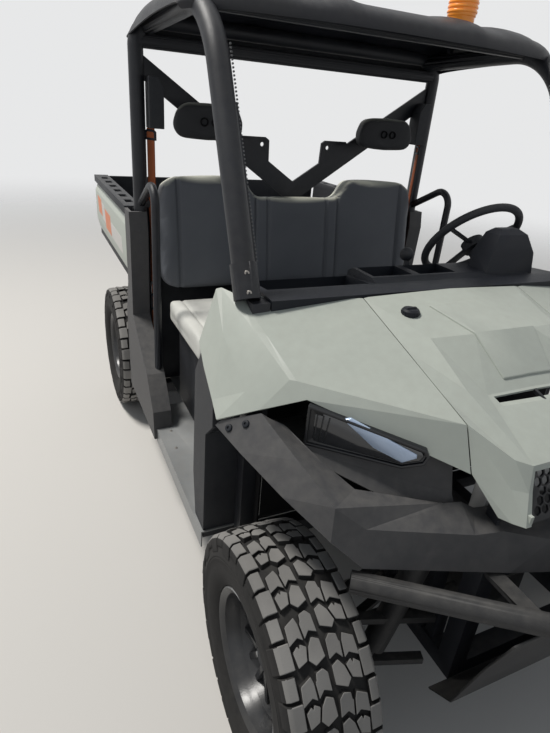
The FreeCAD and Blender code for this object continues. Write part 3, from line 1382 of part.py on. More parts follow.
TAILGATE_HALF = size.bed_half_width - size.bed_skin - size.bed_wall - size.running_gap
tailgate_outline = [
    (TAILGATE_FRONT, BED_FLOOR - 6), (BACK, BED_FLOOR - 6), (BACK, size.bed_top - 20),
    (BACK - 8, size.bed_top - 4), (TAILGATE_FRONT, size.bed_top - 4),
]
tailgate_body = padded_body("tailgate", "YZ_Plane", tailgate_outline, TAILGATE_HALF * 2, midplane=True)
notches = []
for notch_side in (1, -1):
    lug_place = GATE_LUG_X * notch_side
    notches.append(box(at(lug_place - 13, TAILGATE_FRONT - 1, BED_FLOOR - 7),
                       at(lug_place + 13, BACK + 1, GATE_Z + 17)))
    notches.append(rod(at(lug_place - 21, GATE_Y, GATE_Z), at(lug_place + 21, GATE_Y, GATE_Z),
                       5 + size.rest_gap))
tailgate_body.Label = "tailgate_panel"
keep("tailgate", tailgate_body.Shape.cut(Part.makeCompound(notches)))


def tail_lamp_shape():
    x = size.bed_half_width - size.bed_skin
    y = TAILGATE_FRONT - size.running_gap
    return box(at(x - size.bed_wall + 8, y, 930), at(x - 6, y + 14, 1080))


keep("tail_lamps", pair(tail_lamp_shape()))

doc.recompute()

# Every object must be sound, and every sub-part a valid solid, before any file is written.
for item in doc.Objects:
    if "Invalid" in item.State or "Error" in item.State:
        raise RuntimeError("%s failed: %s" % (item.Name, item.State))
for label, piece in NODES.items():
    if piece.Shape.isNull() or not piece.Shape.isValid() or not piece.Shape.Solids:
        raise RuntimeError("%s has no valid shape" % label)

os.makedirs("parts", exist_ok=True)
for label, piece in NODES.items():
    piece.Shape.exportStep("parts/%s.step" % label)
    reach = piece.Shape.BoundBox
    print("%-18s solids %2d  volume %9.0f cm3  z %6.0f to %6.0f" % (
        label, len(piece.Shape.Solids), piece.Shape.Volume / 1000, reach.ZMin, reach.ZMax))
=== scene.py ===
# %% [markdown]
# The vehicle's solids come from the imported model: frame, panels, wheels and seats, in metres.
# They are the skeleton of this scene. Blender gives every piece its edges, its softness and its finish,
# and never moves a solid, so that wheels, hood and bed still turn about their real axes.

import bmesh
import bpy
import json
import math
import random
from mathutils import Matrix, Vector


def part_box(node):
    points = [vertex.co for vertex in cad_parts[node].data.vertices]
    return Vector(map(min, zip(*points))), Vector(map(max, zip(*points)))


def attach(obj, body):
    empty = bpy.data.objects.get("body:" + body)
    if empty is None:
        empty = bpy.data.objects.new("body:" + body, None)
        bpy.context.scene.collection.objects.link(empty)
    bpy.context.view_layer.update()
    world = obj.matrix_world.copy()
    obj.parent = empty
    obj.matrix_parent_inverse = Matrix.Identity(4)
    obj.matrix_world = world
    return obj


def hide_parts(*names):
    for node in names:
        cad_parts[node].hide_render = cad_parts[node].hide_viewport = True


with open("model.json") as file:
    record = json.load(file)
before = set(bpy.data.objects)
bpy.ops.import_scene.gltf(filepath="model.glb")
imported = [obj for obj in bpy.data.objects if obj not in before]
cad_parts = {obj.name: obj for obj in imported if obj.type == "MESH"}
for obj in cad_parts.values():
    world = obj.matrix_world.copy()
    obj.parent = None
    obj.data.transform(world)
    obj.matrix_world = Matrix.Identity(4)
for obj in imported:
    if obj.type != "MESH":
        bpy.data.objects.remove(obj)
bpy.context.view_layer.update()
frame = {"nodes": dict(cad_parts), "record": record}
BODY_OF = {node: body for body, members in frame["record"]["behaviour"]["bodies"].items() for node in members}
SLOT_OF = {part["node"]: part["material_slot"] for part in frame["record"]["subparts"]}

# %% [markdown]
# The photograph was taken by a person standing beside the front wheel, looking down across the hood.
# The camera stands there too. Its place and angles were found from the tyre, the bed rail and the
# steering wheel; the slight roll is the tilt of the hand that held it.

# %% Camera at the photographer's place
EYE = Vector((-1.145, -1.890, 1.609))
HEADING = math.radians(26.05)
LOOK_DOWN = math.radians(25.91)
ROLL = math.radians(4.83)
LENS = 25.82

ahead = Vector((math.sin(HEADING), math.cos(HEADING), 0))
level_right = Vector((math.cos(HEADING), -math.sin(HEADING), 0))
sight = ahead * math.cos(LOOK_DOWN) - Vector((0, 0, math.sin(LOOK_DOWN)))
picture_down = -ahead * math.sin(LOOK_DOWN) - Vector((0, 0, math.cos(LOOK_DOWN)))
right = level_right * math.cos(ROLL) - picture_down * math.sin(ROLL)
up = -(level_right * math.sin(ROLL) + picture_down * math.cos(ROLL))

lens = bpy.data.cameras.new("photographer")
lens.lens = LENS
lens.sensor_width = 36
lens.clip_start = 0.02
camera = bpy.data.objects.new("photographer", lens)
camera.matrix_world = Matrix((
    (right.x, up.x, -sight.x, EYE.x), (right.y, up.y, -sight.y, EYE.y), (right.z, up.z, -sight.z, EYE.z), (0, 0, 0, 1)))
bpy.context.scene.collection.objects.link(camera)
bpy.context.scene.camera = camera

# %% [markdown]
# The vehicle stands in bright open light: one broad lamp high on the passenger's side plays the sun, and
# the world fills the shadows softly. With the lamp's power set so that a white card facing it renders as
# white, every paint renders about as its colour is written.
# The floor is a pale disc that fades out with distance. Past it the camera sees the world's plain
# backdrop, so there is no horizon line to compete with the vehicle.

# %% Floor, world and lamps
BACKDROP = (0.80, 0.805, 0.81, 1)


def deselect():
    """Nothing selected, in object mode, ready for the next piece."""
    if bpy.context.object and bpy.context.object.mode != "OBJECT":
        bpy.ops.object.mode_set(mode="OBJECT")
    bpy.ops.object.select_all(action="DESELECT")


def backdrop_for_seen_rays(tree, plain, shown):
    """Shows one shader to the camera, to mirrors and through glass, and the plain one to all other light."""
    rays = tree.nodes.new("ShaderNodeLightPath")
    either = tree.nodes.new("ShaderNodeMath")
    either.operation = "MAXIMUM"
    tree.links.new(rays.outputs["Is Camera Ray"], either.inputs[0])
    tree.links.new(rays.outputs["Is Glossy Ray"], either.inputs[1])
    any_of = tree.nodes.new("ShaderNodeMath")
    any_of.operation = "MAXIMUM"
    tree.links.new(either.outputs["Value"], any_of.inputs[0])
    tree.links.new(rays.outputs["Is Transmission Ray"], any_of.inputs[1])
    choice = tree.nodes.new("ShaderNodeMixShader")
    tree.links.new(any_of.outputs["Value"], choice.inputs["Fac"])
    tree.links.new(plain, choice.inputs[1])
    tree.links.new(shown, choice.inputs[2])
    return choice.outputs["Shader"]


deselect()
bpy.ops.mesh.primitive_circle_add(vertices=96, radius=30, fill_type="NGON", location=(0, 0, -0.002))
floor = bpy.context.object
floor.name = "floor"
floor_paint = bpy.data.materials.new("pale_floor")
floor_paint.use_nodes = True
floor_tree = floor_paint.node_tree
floor_shader = floor_tree.nodes["Principled BSDF"]
floor_shader.inputs["Base Color"].default_value = (0.66, 0.64, 0.61, 1)
floor_shader.inputs["Roughness"].default_value = 0.95
floor_place = floor_tree.nodes.new("ShaderNodeTexCoord")
floor_reach = floor_tree.nodes.new("ShaderNodeVectorMath")
floor_reach.operation = "LENGTH"
floor_tree.links.new(floor_place.outputs["Object"], floor_reach.inputs[0])
floor_fade = floor_tree.nodes.new("ShaderNodeMapRange")
floor_fade.interpolation_type = "SMOOTHSTEP"
floor_fade.inputs["From Min"].default_value = 2.6
floor_fade.inputs["From Max"].default_value = 11.0
floor_tree.links.new(floor_reach.outputs["Value"], floor_fade.inputs["Value"])
floor_clear = floor_tree.nodes.new("ShaderNodeBsdfTransparent")
floor_mix = floor_tree.nodes.new("ShaderNodeMixShader")
floor_tree.links.new(floor_fade.outputs["Result"], floor_mix.inputs["Fac"])
floor_tree.links.new(floor_shader.outputs["BSDF"], floor_mix.inputs[1])
floor_tree.links.new(floor_clear.outputs["BSDF"], floor_mix.inputs[2])
floor_tree.links.new(floor_mix.outputs["Shader"], floor_tree.nodes["Material Output"].inputs["Surface"])
floor.data.materials.append(floor_paint)

world = bpy.data.worlds.new("soft_sky")
world.use_nodes = True
sky = world.node_tree
sky.nodes["Background"].inputs["Color"].default_value = (0.84, 0.91, 1.0, 1)
sky.nodes["Background"].inputs["Strength"].default_value = 0.27
backdrop = sky.nodes.new("ShaderNodeBackground")
backdrop.inputs["Color"].default_value = BACKDROP
sky.links.new(backdrop_for_seen_rays(sky, sky.nodes["Background"].outputs["Background"],
                                     backdrop.outputs["Background"]),
              sky.nodes["World Output"].inputs["Surface"])
bpy.context.scene.world = world


def lamp(name, place, target, size, watts, colour):
    """Broad area lamp aimed at a point."""
    light = bpy.data.lights.new(name, "AREA")
    light.size = size
    light.energy = watts
    light.color = colour
    holder = bpy.data.objects.new(name, light)
    holder.location = place
    holder.rotation_euler = (Vector(target) - Vector(place)).to_track_quat("-Z", "Y").to_euler()
    bpy.context.scene.collection.objects.link(holder)


lamp("high_sun", (-3.3, 2.1, 7.9), (0, -0.3, 0.9), 1.6, 640, (1.0, 0.975, 0.93))
lamp("front_fill", (-2.5, -6.5, 4.0), (0, -0.6, 0.8), 4.5, 12, (0.90, 0.95, 1.0))
bpy.context.scene.view_settings.view_transform = "Standard"

# %% [markdown]
# Every finish on the vehicle is built the same way: a base tone that wanders a little between two
# colours, a fine grain as bump, and dust that has settled on whatever faces up. Only the numbers differ,
# so one function makes them all, and each finish keeps a plain maker's name. The black mouldings have
# little gloss of their own, because sun and dust have dulled them.

# %% Finishes
DUST = (0.26, 0.245, 0.22)
# Pale colour for painted sunlight: it lightens the faces that point up, as if the sun fell on them.
PAINTED_SUNLIT_COLOUR = (0.66, 0.66, 0.56)


def link_noise(tree, coordinates, scale, detail):
    noise = tree.nodes.new("ShaderNodeTexNoise")
    noise.inputs["Scale"].default_value = scale
    noise.inputs["Detail"].default_value = detail
    tree.links.new(coordinates.outputs["Object"], noise.inputs["Vector"])
    return noise


def spread(tree, source, low, high, down=0.0, top=1.0):
    """Stretches a value between low and high to a new range, and holds it there."""
    ramp = tree.nodes.new("ShaderNodeMapRange")
    ramp.inputs["From Min"].default_value = low
    ramp.inputs["From Max"].default_value = high
    ramp.inputs["To Min"].default_value = down
    ramp.inputs["To Max"].default_value = top
    tree.links.new(source, ramp.inputs["Value"])
    return ramp.outputs["Result"]


def blend_colour(tree, factor, first, second):
    mix = tree.nodes.new("ShaderNodeMix")
    mix.data_type = "RGBA"
    tree.links.new(factor, mix.inputs["Factor"])
    for socket, value in (("A", first), ("B", second)):
        target = [s for s in mix.inputs if s.name == socket and s.type == "RGBA"][0]
        if isinstance(value, tuple):
            target.default_value = (*value, 1)
        else:
            tree.links.new(value, target)
    return [s for s in mix.outputs if s.type == "RGBA"][0]


def combine(tree, operation, first, second):
    step = tree.nodes.new("ShaderNodeMath")
    step.operation = operation
    for socket, value in zip(step.inputs, (first, second)):
        if isinstance(value, (int, float)):
            socket.default_value = value
        else:
            tree.links.new(value, socket)
    return step.outputs["Value"]


def finish(name, tone, dark, roughness, grain, depth, dust=0.0, metallic=0.0, coat=0.0, gloss=0.5, scuffs=0.0,
           painted_sunlight=0.0):
    """Material with a wandering tone, a fine grain, settled dust, pale scuffs and a painted sunlit top."""
    material = bpy.data.materials.new(name)
    material.use_nodes = True
    tree = material.node_tree
    shader = tree.nodes["Principled BSDF"]
    shader.inputs["Metallic"].default_value = metallic
    shader.inputs["Coat Weight"].default_value = coat
    shader.inputs["Specular IOR Level"].default_value = gloss
    coordinates = tree.nodes.new("ShaderNodeTexCoord")
    wander = link_noise(tree, coordinates, 5.0, 4)
    colour = blend_colour(tree, spread(tree, wander.outputs["Fac"], 0.35, 0.65), dark, tone)
    if dust or painted_sunlight:
        facing = tree.nodes.new("ShaderNodeNewGeometry")
        split = tree.nodes.new("ShaderNodeSeparateXYZ")
        tree.links.new(facing.outputs["Normal"], split.inputs["Vector"])
    # Painted sunlight: the more a face points up, the more its colour is blended towards the pale colour.
    if painted_sunlight:
        sunlit_share = spread(tree, split.outputs["Z"], 0.35, 0.70, 0.0, painted_sunlight)
        colour = blend_colour(tree, sunlit_share, colour, PAINTED_SUNLIT_COLOUR)
    if dust:
        patches = link_noise(tree, coordinates, 38.0, 9)
        upward = spread(tree, split.outputs["Z"], -0.3, 1.0)
        settled = combine(tree, "MULTIPLY", upward, spread(tree, patches.outputs["Fac"], 0.30, 0.75))
        colour = blend_colour(tree, combine(tree, "MULTIPLY", settled, dust), colour, DUST)
    if scuffs:
        marks = link_noise(tree, coordinates, 9.0, 12)
        marks.inputs["Roughness"].default_value = 0.75
        worn = spread(tree, marks.outputs["Fac"], 0.62, 0.74, 0.0, scuffs)
        colour = blend_colour(tree, worn, colour, DUST)
    tree.links.new(colour, shader.inputs["Base Color"])
    sheen = spread(tree, wander.outputs["Fac"], 0.3, 0.7, max(roughness - 0.06, 0.02), roughness + 0.06)
    tree.links.new(sheen, shader.inputs["Roughness"])
    fine = link_noise(tree, coordinates, grain, 3)
    bump = tree.nodes.new("ShaderNodeBump")
    bump.inputs["Strength"].default_value = 0.6
    bump.inputs["Distance"].default_value = depth
    tree.links.new(fine.outputs["Fac"], bump.inputs["Height"])
    tree.links.new(bump.outputs["Normal"], shader.inputs["Normal"])
    return material


FINISHES = {
    "sage_panel": finish("sage_panel", (0.455, 0.485, 0.435), (0.435, 0.465, 0.418), 0.46, 900, 0.0002,
                         dust=0.16, scuffs=0.15, gloss=0.35),
    "black_plastic": finish("black_plastic", (0.030, 0.032, 0.037), (0.019, 0.021, 0.026), 0.62, 900, 0.0007,
                            dust=0.16, gloss=0.3, scuffs=0.05),
    "black_frame": finish("black_frame", (0.016, 0.018, 0.023), (0.010, 0.011, 0.015), 0.44, 520, 0.0012,
                          dust=0.08, gloss=0.35, scuffs=0.06),
    "black_steel": finish("black_steel", (0.032, 0.032, 0.033), (0.018, 0.018, 0.019), 0.55, 300, 0.0010,
                          dust=0.18, gloss=0.35, scuffs=0.25),
    "tyre": finish("tyre", (0.026, 0.025, 0.025), (0.018, 0.018, 0.018), 0.85, 320, 0.0008,
                   dust=0.10, gloss=0.2),
    "rim": finish("rim", (0.020, 0.021, 0.024), (0.012, 0.013, 0.015), 0.30, 300, 0.0004, dust=0.10),
    "seat_light": finish("seat_light", (0.68, 0.68, 0.64), (0.63, 0.63, 0.59), 0.55, 900, 0.0006,
                         dust=0.08, gloss=0.3, scuffs=0.08),
    "seat_dark": finish("seat_dark", (0.092, 0.102, 0.112), (0.078, 0.088, 0.098), 0.52, 900, 0.0006,
                        dust=0.06, gloss=0.3),
    "webbing": finish("webbing", (0.36, 0.11, 0.045), (0.26, 0.07, 0.03), 0.78, 1500, 0.0008, gloss=0.2),
    "lamp_lens": finish("lamp_lens", (0.020, 0.022, 0.026), (0.012, 0.014, 0.018), 0.14, 30, 0.0, coat=1.0),
    "red_lens": finish("red_lens", (0.45, 0.015, 0.01), (0.35, 0.01, 0.01), 0.18, 60, 0.0002, coat=0.6),
    "amber_lens": finish("amber_lens", (1.0, 0.34, 0.03), (0.95, 0.28, 0.02), 0.22, 60, 0.0002, coat=0.3),
    "cast_metal": finish("cast_metal", (0.09, 0.09, 0.09), (0.05, 0.05, 0.05), 0.62, 250, 0.0012,
                         dust=0.4, gloss=0.3),
    "bare_steel": finish("bare_steel", (0.38, 0.37, 0.35), (0.26, 0.24, 0.22), 0.42, 200, 0.0004,
                         dust=0.3, metallic=0.9),
    "aluminium": finish("aluminium", (0.50, 0.51, 0.52), (0.40, 0.41, 0.42), 0.42, 500, 0.0004,
                        dust=0.3, metallic=0.9),
}
# The beacon is not lit, yet its amber lens glows a little: painted light that stands in for sun shining through the
# lens.
AMBER_PAINTED_GLOW = 0.12
amber_shader = FINISHES["amber_lens"].node_tree.nodes["Principled BSDF"]
amber_shader.inputs["Emission Color"].default_value = (1.0, 0.30, 0.03, 1)
amber_shader.inputs["Emission Strength"].default_value = AMBER_PAINTED_GLOW
FINISHES["tread"] = finish("tread", (0.265, 0.257, 0.246), (0.180, 0.175, 0.168), 0.85, 420, 0.0010,
                           dust=0.15, gloss=0.25, scuffs=0.1)
FINISHES["dash_plastic"] = finish("dash_plastic", (0.006, 0.008, 0.014), (0.004, 0.006, 0.010), 0.55, 900, 0.0007,
                                  dust=0.03, gloss=0.3, scuffs=0.03)
FINISHES["roof_plastic"] = finish("roof_plastic", (0.007, 0.008, 0.013), (0.005, 0.006, 0.009), 0.50, 700, 0.0010,
                                  dust=0.10, gloss=0.4, scuffs=0.05)
FINISHES["fascia_plastic"] = finish("fascia_plastic", (0.070, 0.069, 0.071), (0.052, 0.052, 0.055), 0.60, 700, 0.0010,
                                    dust=0.22, gloss=0.35, scuffs=0.12)
FINISHES["grille_black"] = finish("grille_black", (0.009, 0.010, 0.012), (0.006, 0.007, 0.009), 0.45, 600, 0.0004,
                                  gloss=0.3)
FINISHES["seal_rubber"] = finish("seal_rubber", (0.170, 0.172, 0.176), (0.100, 0.102, 0.106), 0.35, 600, 0.0004,
                                 dust=0.2)
# The back rest's cover is set darker than its grey vinyl, as painted shade from the roof; back rest and headrests both
# get a painted sunlit top.
FINISHES["seat_back_cover"] = finish("seat_back_cover", (0.130, 0.138, 0.154), (0.112, 0.120, 0.136), 0.50, 900,
                                     0.0006, dust=0.04, gloss=0.3, painted_sunlight=0.8)
FINISHES["seat_head_cover"] = finish("seat_head_cover", (0.030, 0.031, 0.034), (0.024, 0.025, 0.028), 0.60, 900,
                                     0.0006, dust=0.04, gloss=0.25, painted_sunlight=0.35)
FINISHES["lamp_shell"] = finish("lamp_shell", (0.010, 0.011, 0.014), (0.007, 0.008, 0.010), 0.30, 600, 0.0002)
# Painted reflection: the reflector strip's pale blue colour stands in for the sky it reflects.
FINISHES["lamp_strip"] = finish("lamp_strip", (0.50, 0.60, 0.76), (0.40, 0.50, 0.68), 0.30, 90, 0.0004,
                                metallic=0.4)
FINISHES["sill_plate"] = finish("sill_plate", (0.270, 0.278, 0.278), (0.200, 0.207, 0.210), 0.40, 500, 0.0006,
                                dust=0.25, gloss=0.5, scuffs=0.2)
FINISHES["stripe_light"] = finish("stripe_light", (0.62, 0.60, 0.57), (0.56, 0.54, 0.51), 0.40, 600, 0.0002,
                                  dust=0.1, scuffs=0.25)
FINISHES["stripe_orange"] = finish("stripe_orange", (0.70, 0.20, 0.07), (0.62, 0.16, 0.05), 0.40, 600, 0.0002,
                                   dust=0.1, scuffs=0.25)
FINISHES["engine_bay"] = finish("engine_bay", (0.010, 0.010, 0.011), (0.006, 0.006, 0.007), 0.8, 300, 0.0004,
                                gloss=0.1)
print("finishes", len(FINISHES))

# %% [markdown]
# The solids have edges as sharp as a drawing. Real mouldings and welded tubes never do, and it is the
# thin bright line of a rounded edge that makes a panel look real. So each solid is copied, its loose
# triangles are merged back into faces, and a small bevel runs along every edge that turns enough.
# The painted panels are folded at very low angles, so their bevel starts at a few degrees already, and
# the smoothing stops there too: that keeps each facet flat and each fold crisp.

# %% Soft edges for the solids
SOFTENED = {}


def soften(node, width, turn=28, segments=2, finish_name=None):
    """Copy of a solid with merged faces and rounded edges, which then stands for it."""
    source = frame["nodes"][node]
    deselect()
    piece = bpy.data.objects.new(node + "_soft", source.data.copy())
    bpy.context.scene.collection.objects.link(piece)
    piece.select_set(True)
    bpy.context.view_layer.objects.active = piece
    bpy.ops.object.mode_set(mode="EDIT")
    bpy.ops.mesh.select_all(action="SELECT")
    bpy.ops.mesh.remove_doubles(threshold=0.00005)
    bpy.ops.mesh.dissolve_limited(angle_limit=math.radians(0.5))
    bpy.ops.object.mode_set(mode="OBJECT")
    if width:
        rounding = piece.modifiers.new("rounding", "BEVEL")
        rounding.width = width
        rounding.segments = segments
        rounding.limit_method = "ANGLE"
        rounding.angle_limit = math.radians(turn)
        bpy.ops.object.modifier_apply(modifier="rounding")
    bpy.ops.object.shade_smooth_by_angle(angle=math.radians(max(turn, 6)))
    dress(piece, finish_name or SLOT_OF[node], BODY_OF[node])
    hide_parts(node)
    SOFTENED[node] = piece
    return piece


def dress(piece, finish_name, body):
    """Finish and body of a piece."""
    piece.data.materials.clear()
    piece.data.materials.append(FINISHES[finish_name])
    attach(piece, body)


# Columns: width of the rounding in metres, lowest turn in degrees that is rounded, the solids that get it.
ROUNDINGS = [
    (0.0016, 7, ["hood", "front_fenders"]),
    (0.0025, 24, ["arch_liners", "cab_rear_wall", "tail_lamps", "belt_reels"]),
    (0.0060, 28, ["cargo_bed", "tailgate", "seat_base"]),
    (0.0040, 28, ["steering_wheel", "beacon"]),
    (0.0020, 28, ["chassis_frame", "hitch_receiver", "front_skid_plate", "radiator", "driver_controls",
                  "steering_rack", "suspension_arms", "v_brace"]),
    (0.0030, 34, ["knuckle_left", "knuckle_right", "engine_block", "drive_shafts", "muffler"]),
    (0.0, 34, ["rops_rear", "rops_front", "hip_bars", "front_bumper", "shock_absorbers", "seat_belts"]),
]
for rounding_width, lowest_turn, solids in ROUNDINGS:
    for solid in solids:
        soften(solid, rounding_width, lowest_turn)
for solid, rounding_width, lowest_turn, finish_name in (
        ("dashboard", 0.005, 22, "dash_plastic"), ("grille", 0.0006, 28, "grille_black"),
        ("front_fascia", 0.0030, 9, "fascia_plastic"), ("cab_side_panels", 0.0030, 9, "fascia_plastic"),
        ("rocker_panels", 0.0025, 24, "sill_plate"), ("floor_pan", 0.0020, 28, "sill_plate")):
    soften(solid, rounding_width, lowest_turn, finish_name=finish_name)
# The toe board and the firewall stand up from the bright floor and are black like the arch liners.
FLOOR_TOP = 0.375
SOFTENED["floor_pan"].data.materials.append(FINISHES["engine_bay"])
for face in SOFTENED["floor_pan"].data.polygons:
    if face.center.z > FLOOR_TOP:
        face.material_index = len(SOFTENED["floor_pan"].data.materials) - 1

# %% [markdown]
# Most small pieces here start as a flat outline that is pushed out to a depth, as a sheet is cut and
# folded or a block is moulded. The outline is a circle with one vertex for each corner, and every vertex
# is moved to its place. Pushing it out, tapering it and rounding its edges then takes a few operators,
# and one piece can be copied round a wheel or along a row.

# %% Outlines, blocks and copies
def select_faces(piece, wanted):
    """In edit mode: selects the faces whose middle and normal fit, and tells how many there are."""
    grid = bmesh.from_edit_mesh(piece.data)
    for face in grid.faces:
        face.select_set(False)
    count = 0
    for face in grid.faces:
        if wanted(face.calc_center_median(), face.normal):
            face.select_set(True)
            count += 1
    bmesh.update_edit_mesh(piece.data)
    return count


def select_edges(piece, wanted):
    """In edit mode: selects the edges whose two ends fit."""
    grid = bmesh.from_edit_mesh(piece.data)
    for face in grid.faces:
        face.select_set(False)
    for edge in grid.edges:
        edge.select_set(bool(wanted(edge.verts[0].co, edge.verts[1].co)))
    bmesh.update_edit_mesh(piece.data)


def outline(name, corners, filled=True):
    """Flat outline from a circle whose vertices are moved to the corners. It ends in edit mode."""
    deselect()
    bpy.ops.mesh.primitive_circle_add(vertices=len(corners), radius=0.01,
                                      fill_type="NGON" if filled else "NOTHING")
    piece = bpy.context.object
    piece.name = name
    bpy.ops.object.mode_set(mode="EDIT")
    for place, corner in enumerate(corners):
        grid = bmesh.from_edit_mesh(piece.data)
        grid.verts.ensure_lookup_table()
        for vertex in grid.verts:
            vertex.select_set(False)
        grid.verts[place].select_set(True)
        bmesh.update_edit_mesh(piece.data)
        bpy.ops.transform.translate(value=Vector(corner) - grid.verts[place].co)
    bpy.ops.mesh.select_all(action="SELECT")
    return piece


def block(name, corners, push, taper=1.0, rounding=0.0, segments=1):
    """Outline pushed out to a block, narrower at its far end, with rounded edges. It ends in object mode."""
    piece = outline(name, corners)
    push = Vector(push)
    bpy.ops.mesh.extrude_region_move(TRANSFORM_OT_translate={"value": push})
    middle = sum((Vector(c) for c in corners), Vector()) / len(corners) + push
    if taper != 1.0:
        bpy.ops.transform.resize(value=(taper, taper, taper), center_override=middle)
    bpy.ops.mesh.select_all(action="SELECT")
    bpy.ops.mesh.normals_make_consistent(inside=False)
    if rounding:
        bpy.ops.mesh.bevel(offset=rounding, segments=segments, affect="EDGES")
    bpy.ops.object.mode_set(mode="OBJECT")
    return piece


def turned(name, profile, centre, axis="X", steps=64):
    """Body of revolution: the profile is (place along the axis, radius), closed on itself."""
    if axis == "X":
        corners = [(centre[0] + along, centre[1], centre[2] + radius) for along, radius in profile]
        axis_way = (1, 0, 0)
    elif axis == "Z":
        corners = [(centre[0] + radius, centre[1], centre[2] + along) for along, radius in profile]
        axis_way = (0, 0, 1)
    else:
        corners = [(centre[0] + radius, centre[1] + along, centre[2]) for along, radius in profile]
        axis_way = (0, 1, 0)
    piece = outline(name, corners, filled=False)
    bpy.ops.mesh.spin(steps=steps, angle=math.tau, center=centre, axis=axis_way)
    bpy.ops.mesh.select_all(action="SELECT")
    bpy.ops.mesh.remove_doubles(threshold=0.00005)
    bpy.ops.mesh.normals_make_consistent(inside=False)
    bpy.ops.object.mode_set(mode="OBJECT")
    return piece


def copied(piece, change):
    """Copy with its own mesh, moved by a matrix."""
    twin = bpy.data.objects.new(piece.name, piece.data.copy())
    bpy.context.scene.collection.objects.link(twin)
    twin.data.transform(change)
    return twin


def reflected(piece):
    """Copy on the vehicle's other side, with its faces turned the right way round again."""
    twin = copied(piece, Matrix.Scale(-1, 4, (1, 0, 0)))
    deselect()
    twin.select_set(True)
    bpy.context.view_layer.objects.active = twin
    bpy.ops.object.mode_set(mode="EDIT")
    bpy.ops.mesh.select_all(action="SELECT")
    bpy.ops.mesh.flip_normals()
    bpy.ops.object.mode_set(mode="OBJECT")
    return twin


def merged(name, pieces):
    """Joins pieces to one object."""
    deselect()
    for piece in pieces:
        piece.select_set(True)
    bpy.context.view_layer.objects.active = pieces[0]
    if len(pieces) > 1:
        bpy.ops.object.join()
    pieces[0].name = name
    return pieces[0]


def smooth(piece, degrees=35):
    deselect()
    piece.select_set(True)
    bpy.context.view_layer.objects.active = piece
    bpy.ops.object.shade_smooth_by_angle(angle=math.radians(degrees))
    return piece


def turn_about(point, axis, degrees):
    """Matrix of a turn about an axis through a point."""
    way = {"X": (1, 0, 0), "Y": (0, 1, 0), "Z": (0, 0, 1)}.get(axis, axis)
    return (Matrix.Translation(Vector(point)) @ Matrix.Rotation(math.radians(degrees), 4, Vector(way))
            @ Matrix.Translation(-Vector(point)))


print("helpers ready")

# %% [markdown]
# An off-road tyre is a smooth carcass with rubber blocks on it: two middle rows of irregular blocks and
# wide shoulder lugs that reach down the sidewall, long and short in turn. The carcass is a section that
# is spun about the axle. One pitch of the tread, all blocks that repeat, is modelled at the top of the
# wheel, and copied round it. The block tops carry dust and get a paler rubber than the grooves.

# %% Tyres
PITCHES = 18
TREAD_TOP = 0.3285
GROOVE = 0.0115
# Outlines of the middle blocks of one pitch, in millimetres: across from the middle, along from the pitch's start.
# A thin cut splits each block in two.
MIDDLE_BLOCKS = [
    [(3, 8), (30, -4), (42.5, 10), (34.5, 36.5), (22, 53), (5, 45)],
    [(45, 10), (68, 2), (71, 34), (58, 44), (54.5, 37), (51, 46), (37.5, 37.5)],
    [(4, 56), (23, 64), (36.5, 50), (39, 83), (36, 86), (34, 101), (17, 106), (6, 95)],
    [(39.5, 49), (52, 57), (75, 45), (73, 86), (47, 99), (42, 84)],
]
# Section of a shoulder lug, across and below the tread's top, with its length along the tread and where it starts.
SHOULDER_LUGS = [
    ([(74, 0), (99, 2.0), (108, 11), (112.8, 44), (107, 50), (98, 24), (75, 16)], 52, 3),
    ([(80, 0), (99, 2.0), (107, 11), (110.0, 27), (104, 33), (96, 20), (81, 16)], 44, 64),
]


def tread_faces(piece):
    """Pale rubber on the faces that meet the ground, black rubber on the others."""
    piece.data.materials.append(FINISHES["tyre"])
    piece.data.materials.append(FINISHES["tread"])
    for face in piece.data.polygons:
        face.material_index = 1 if face.normal.z > 0.55 else 0
    return piece


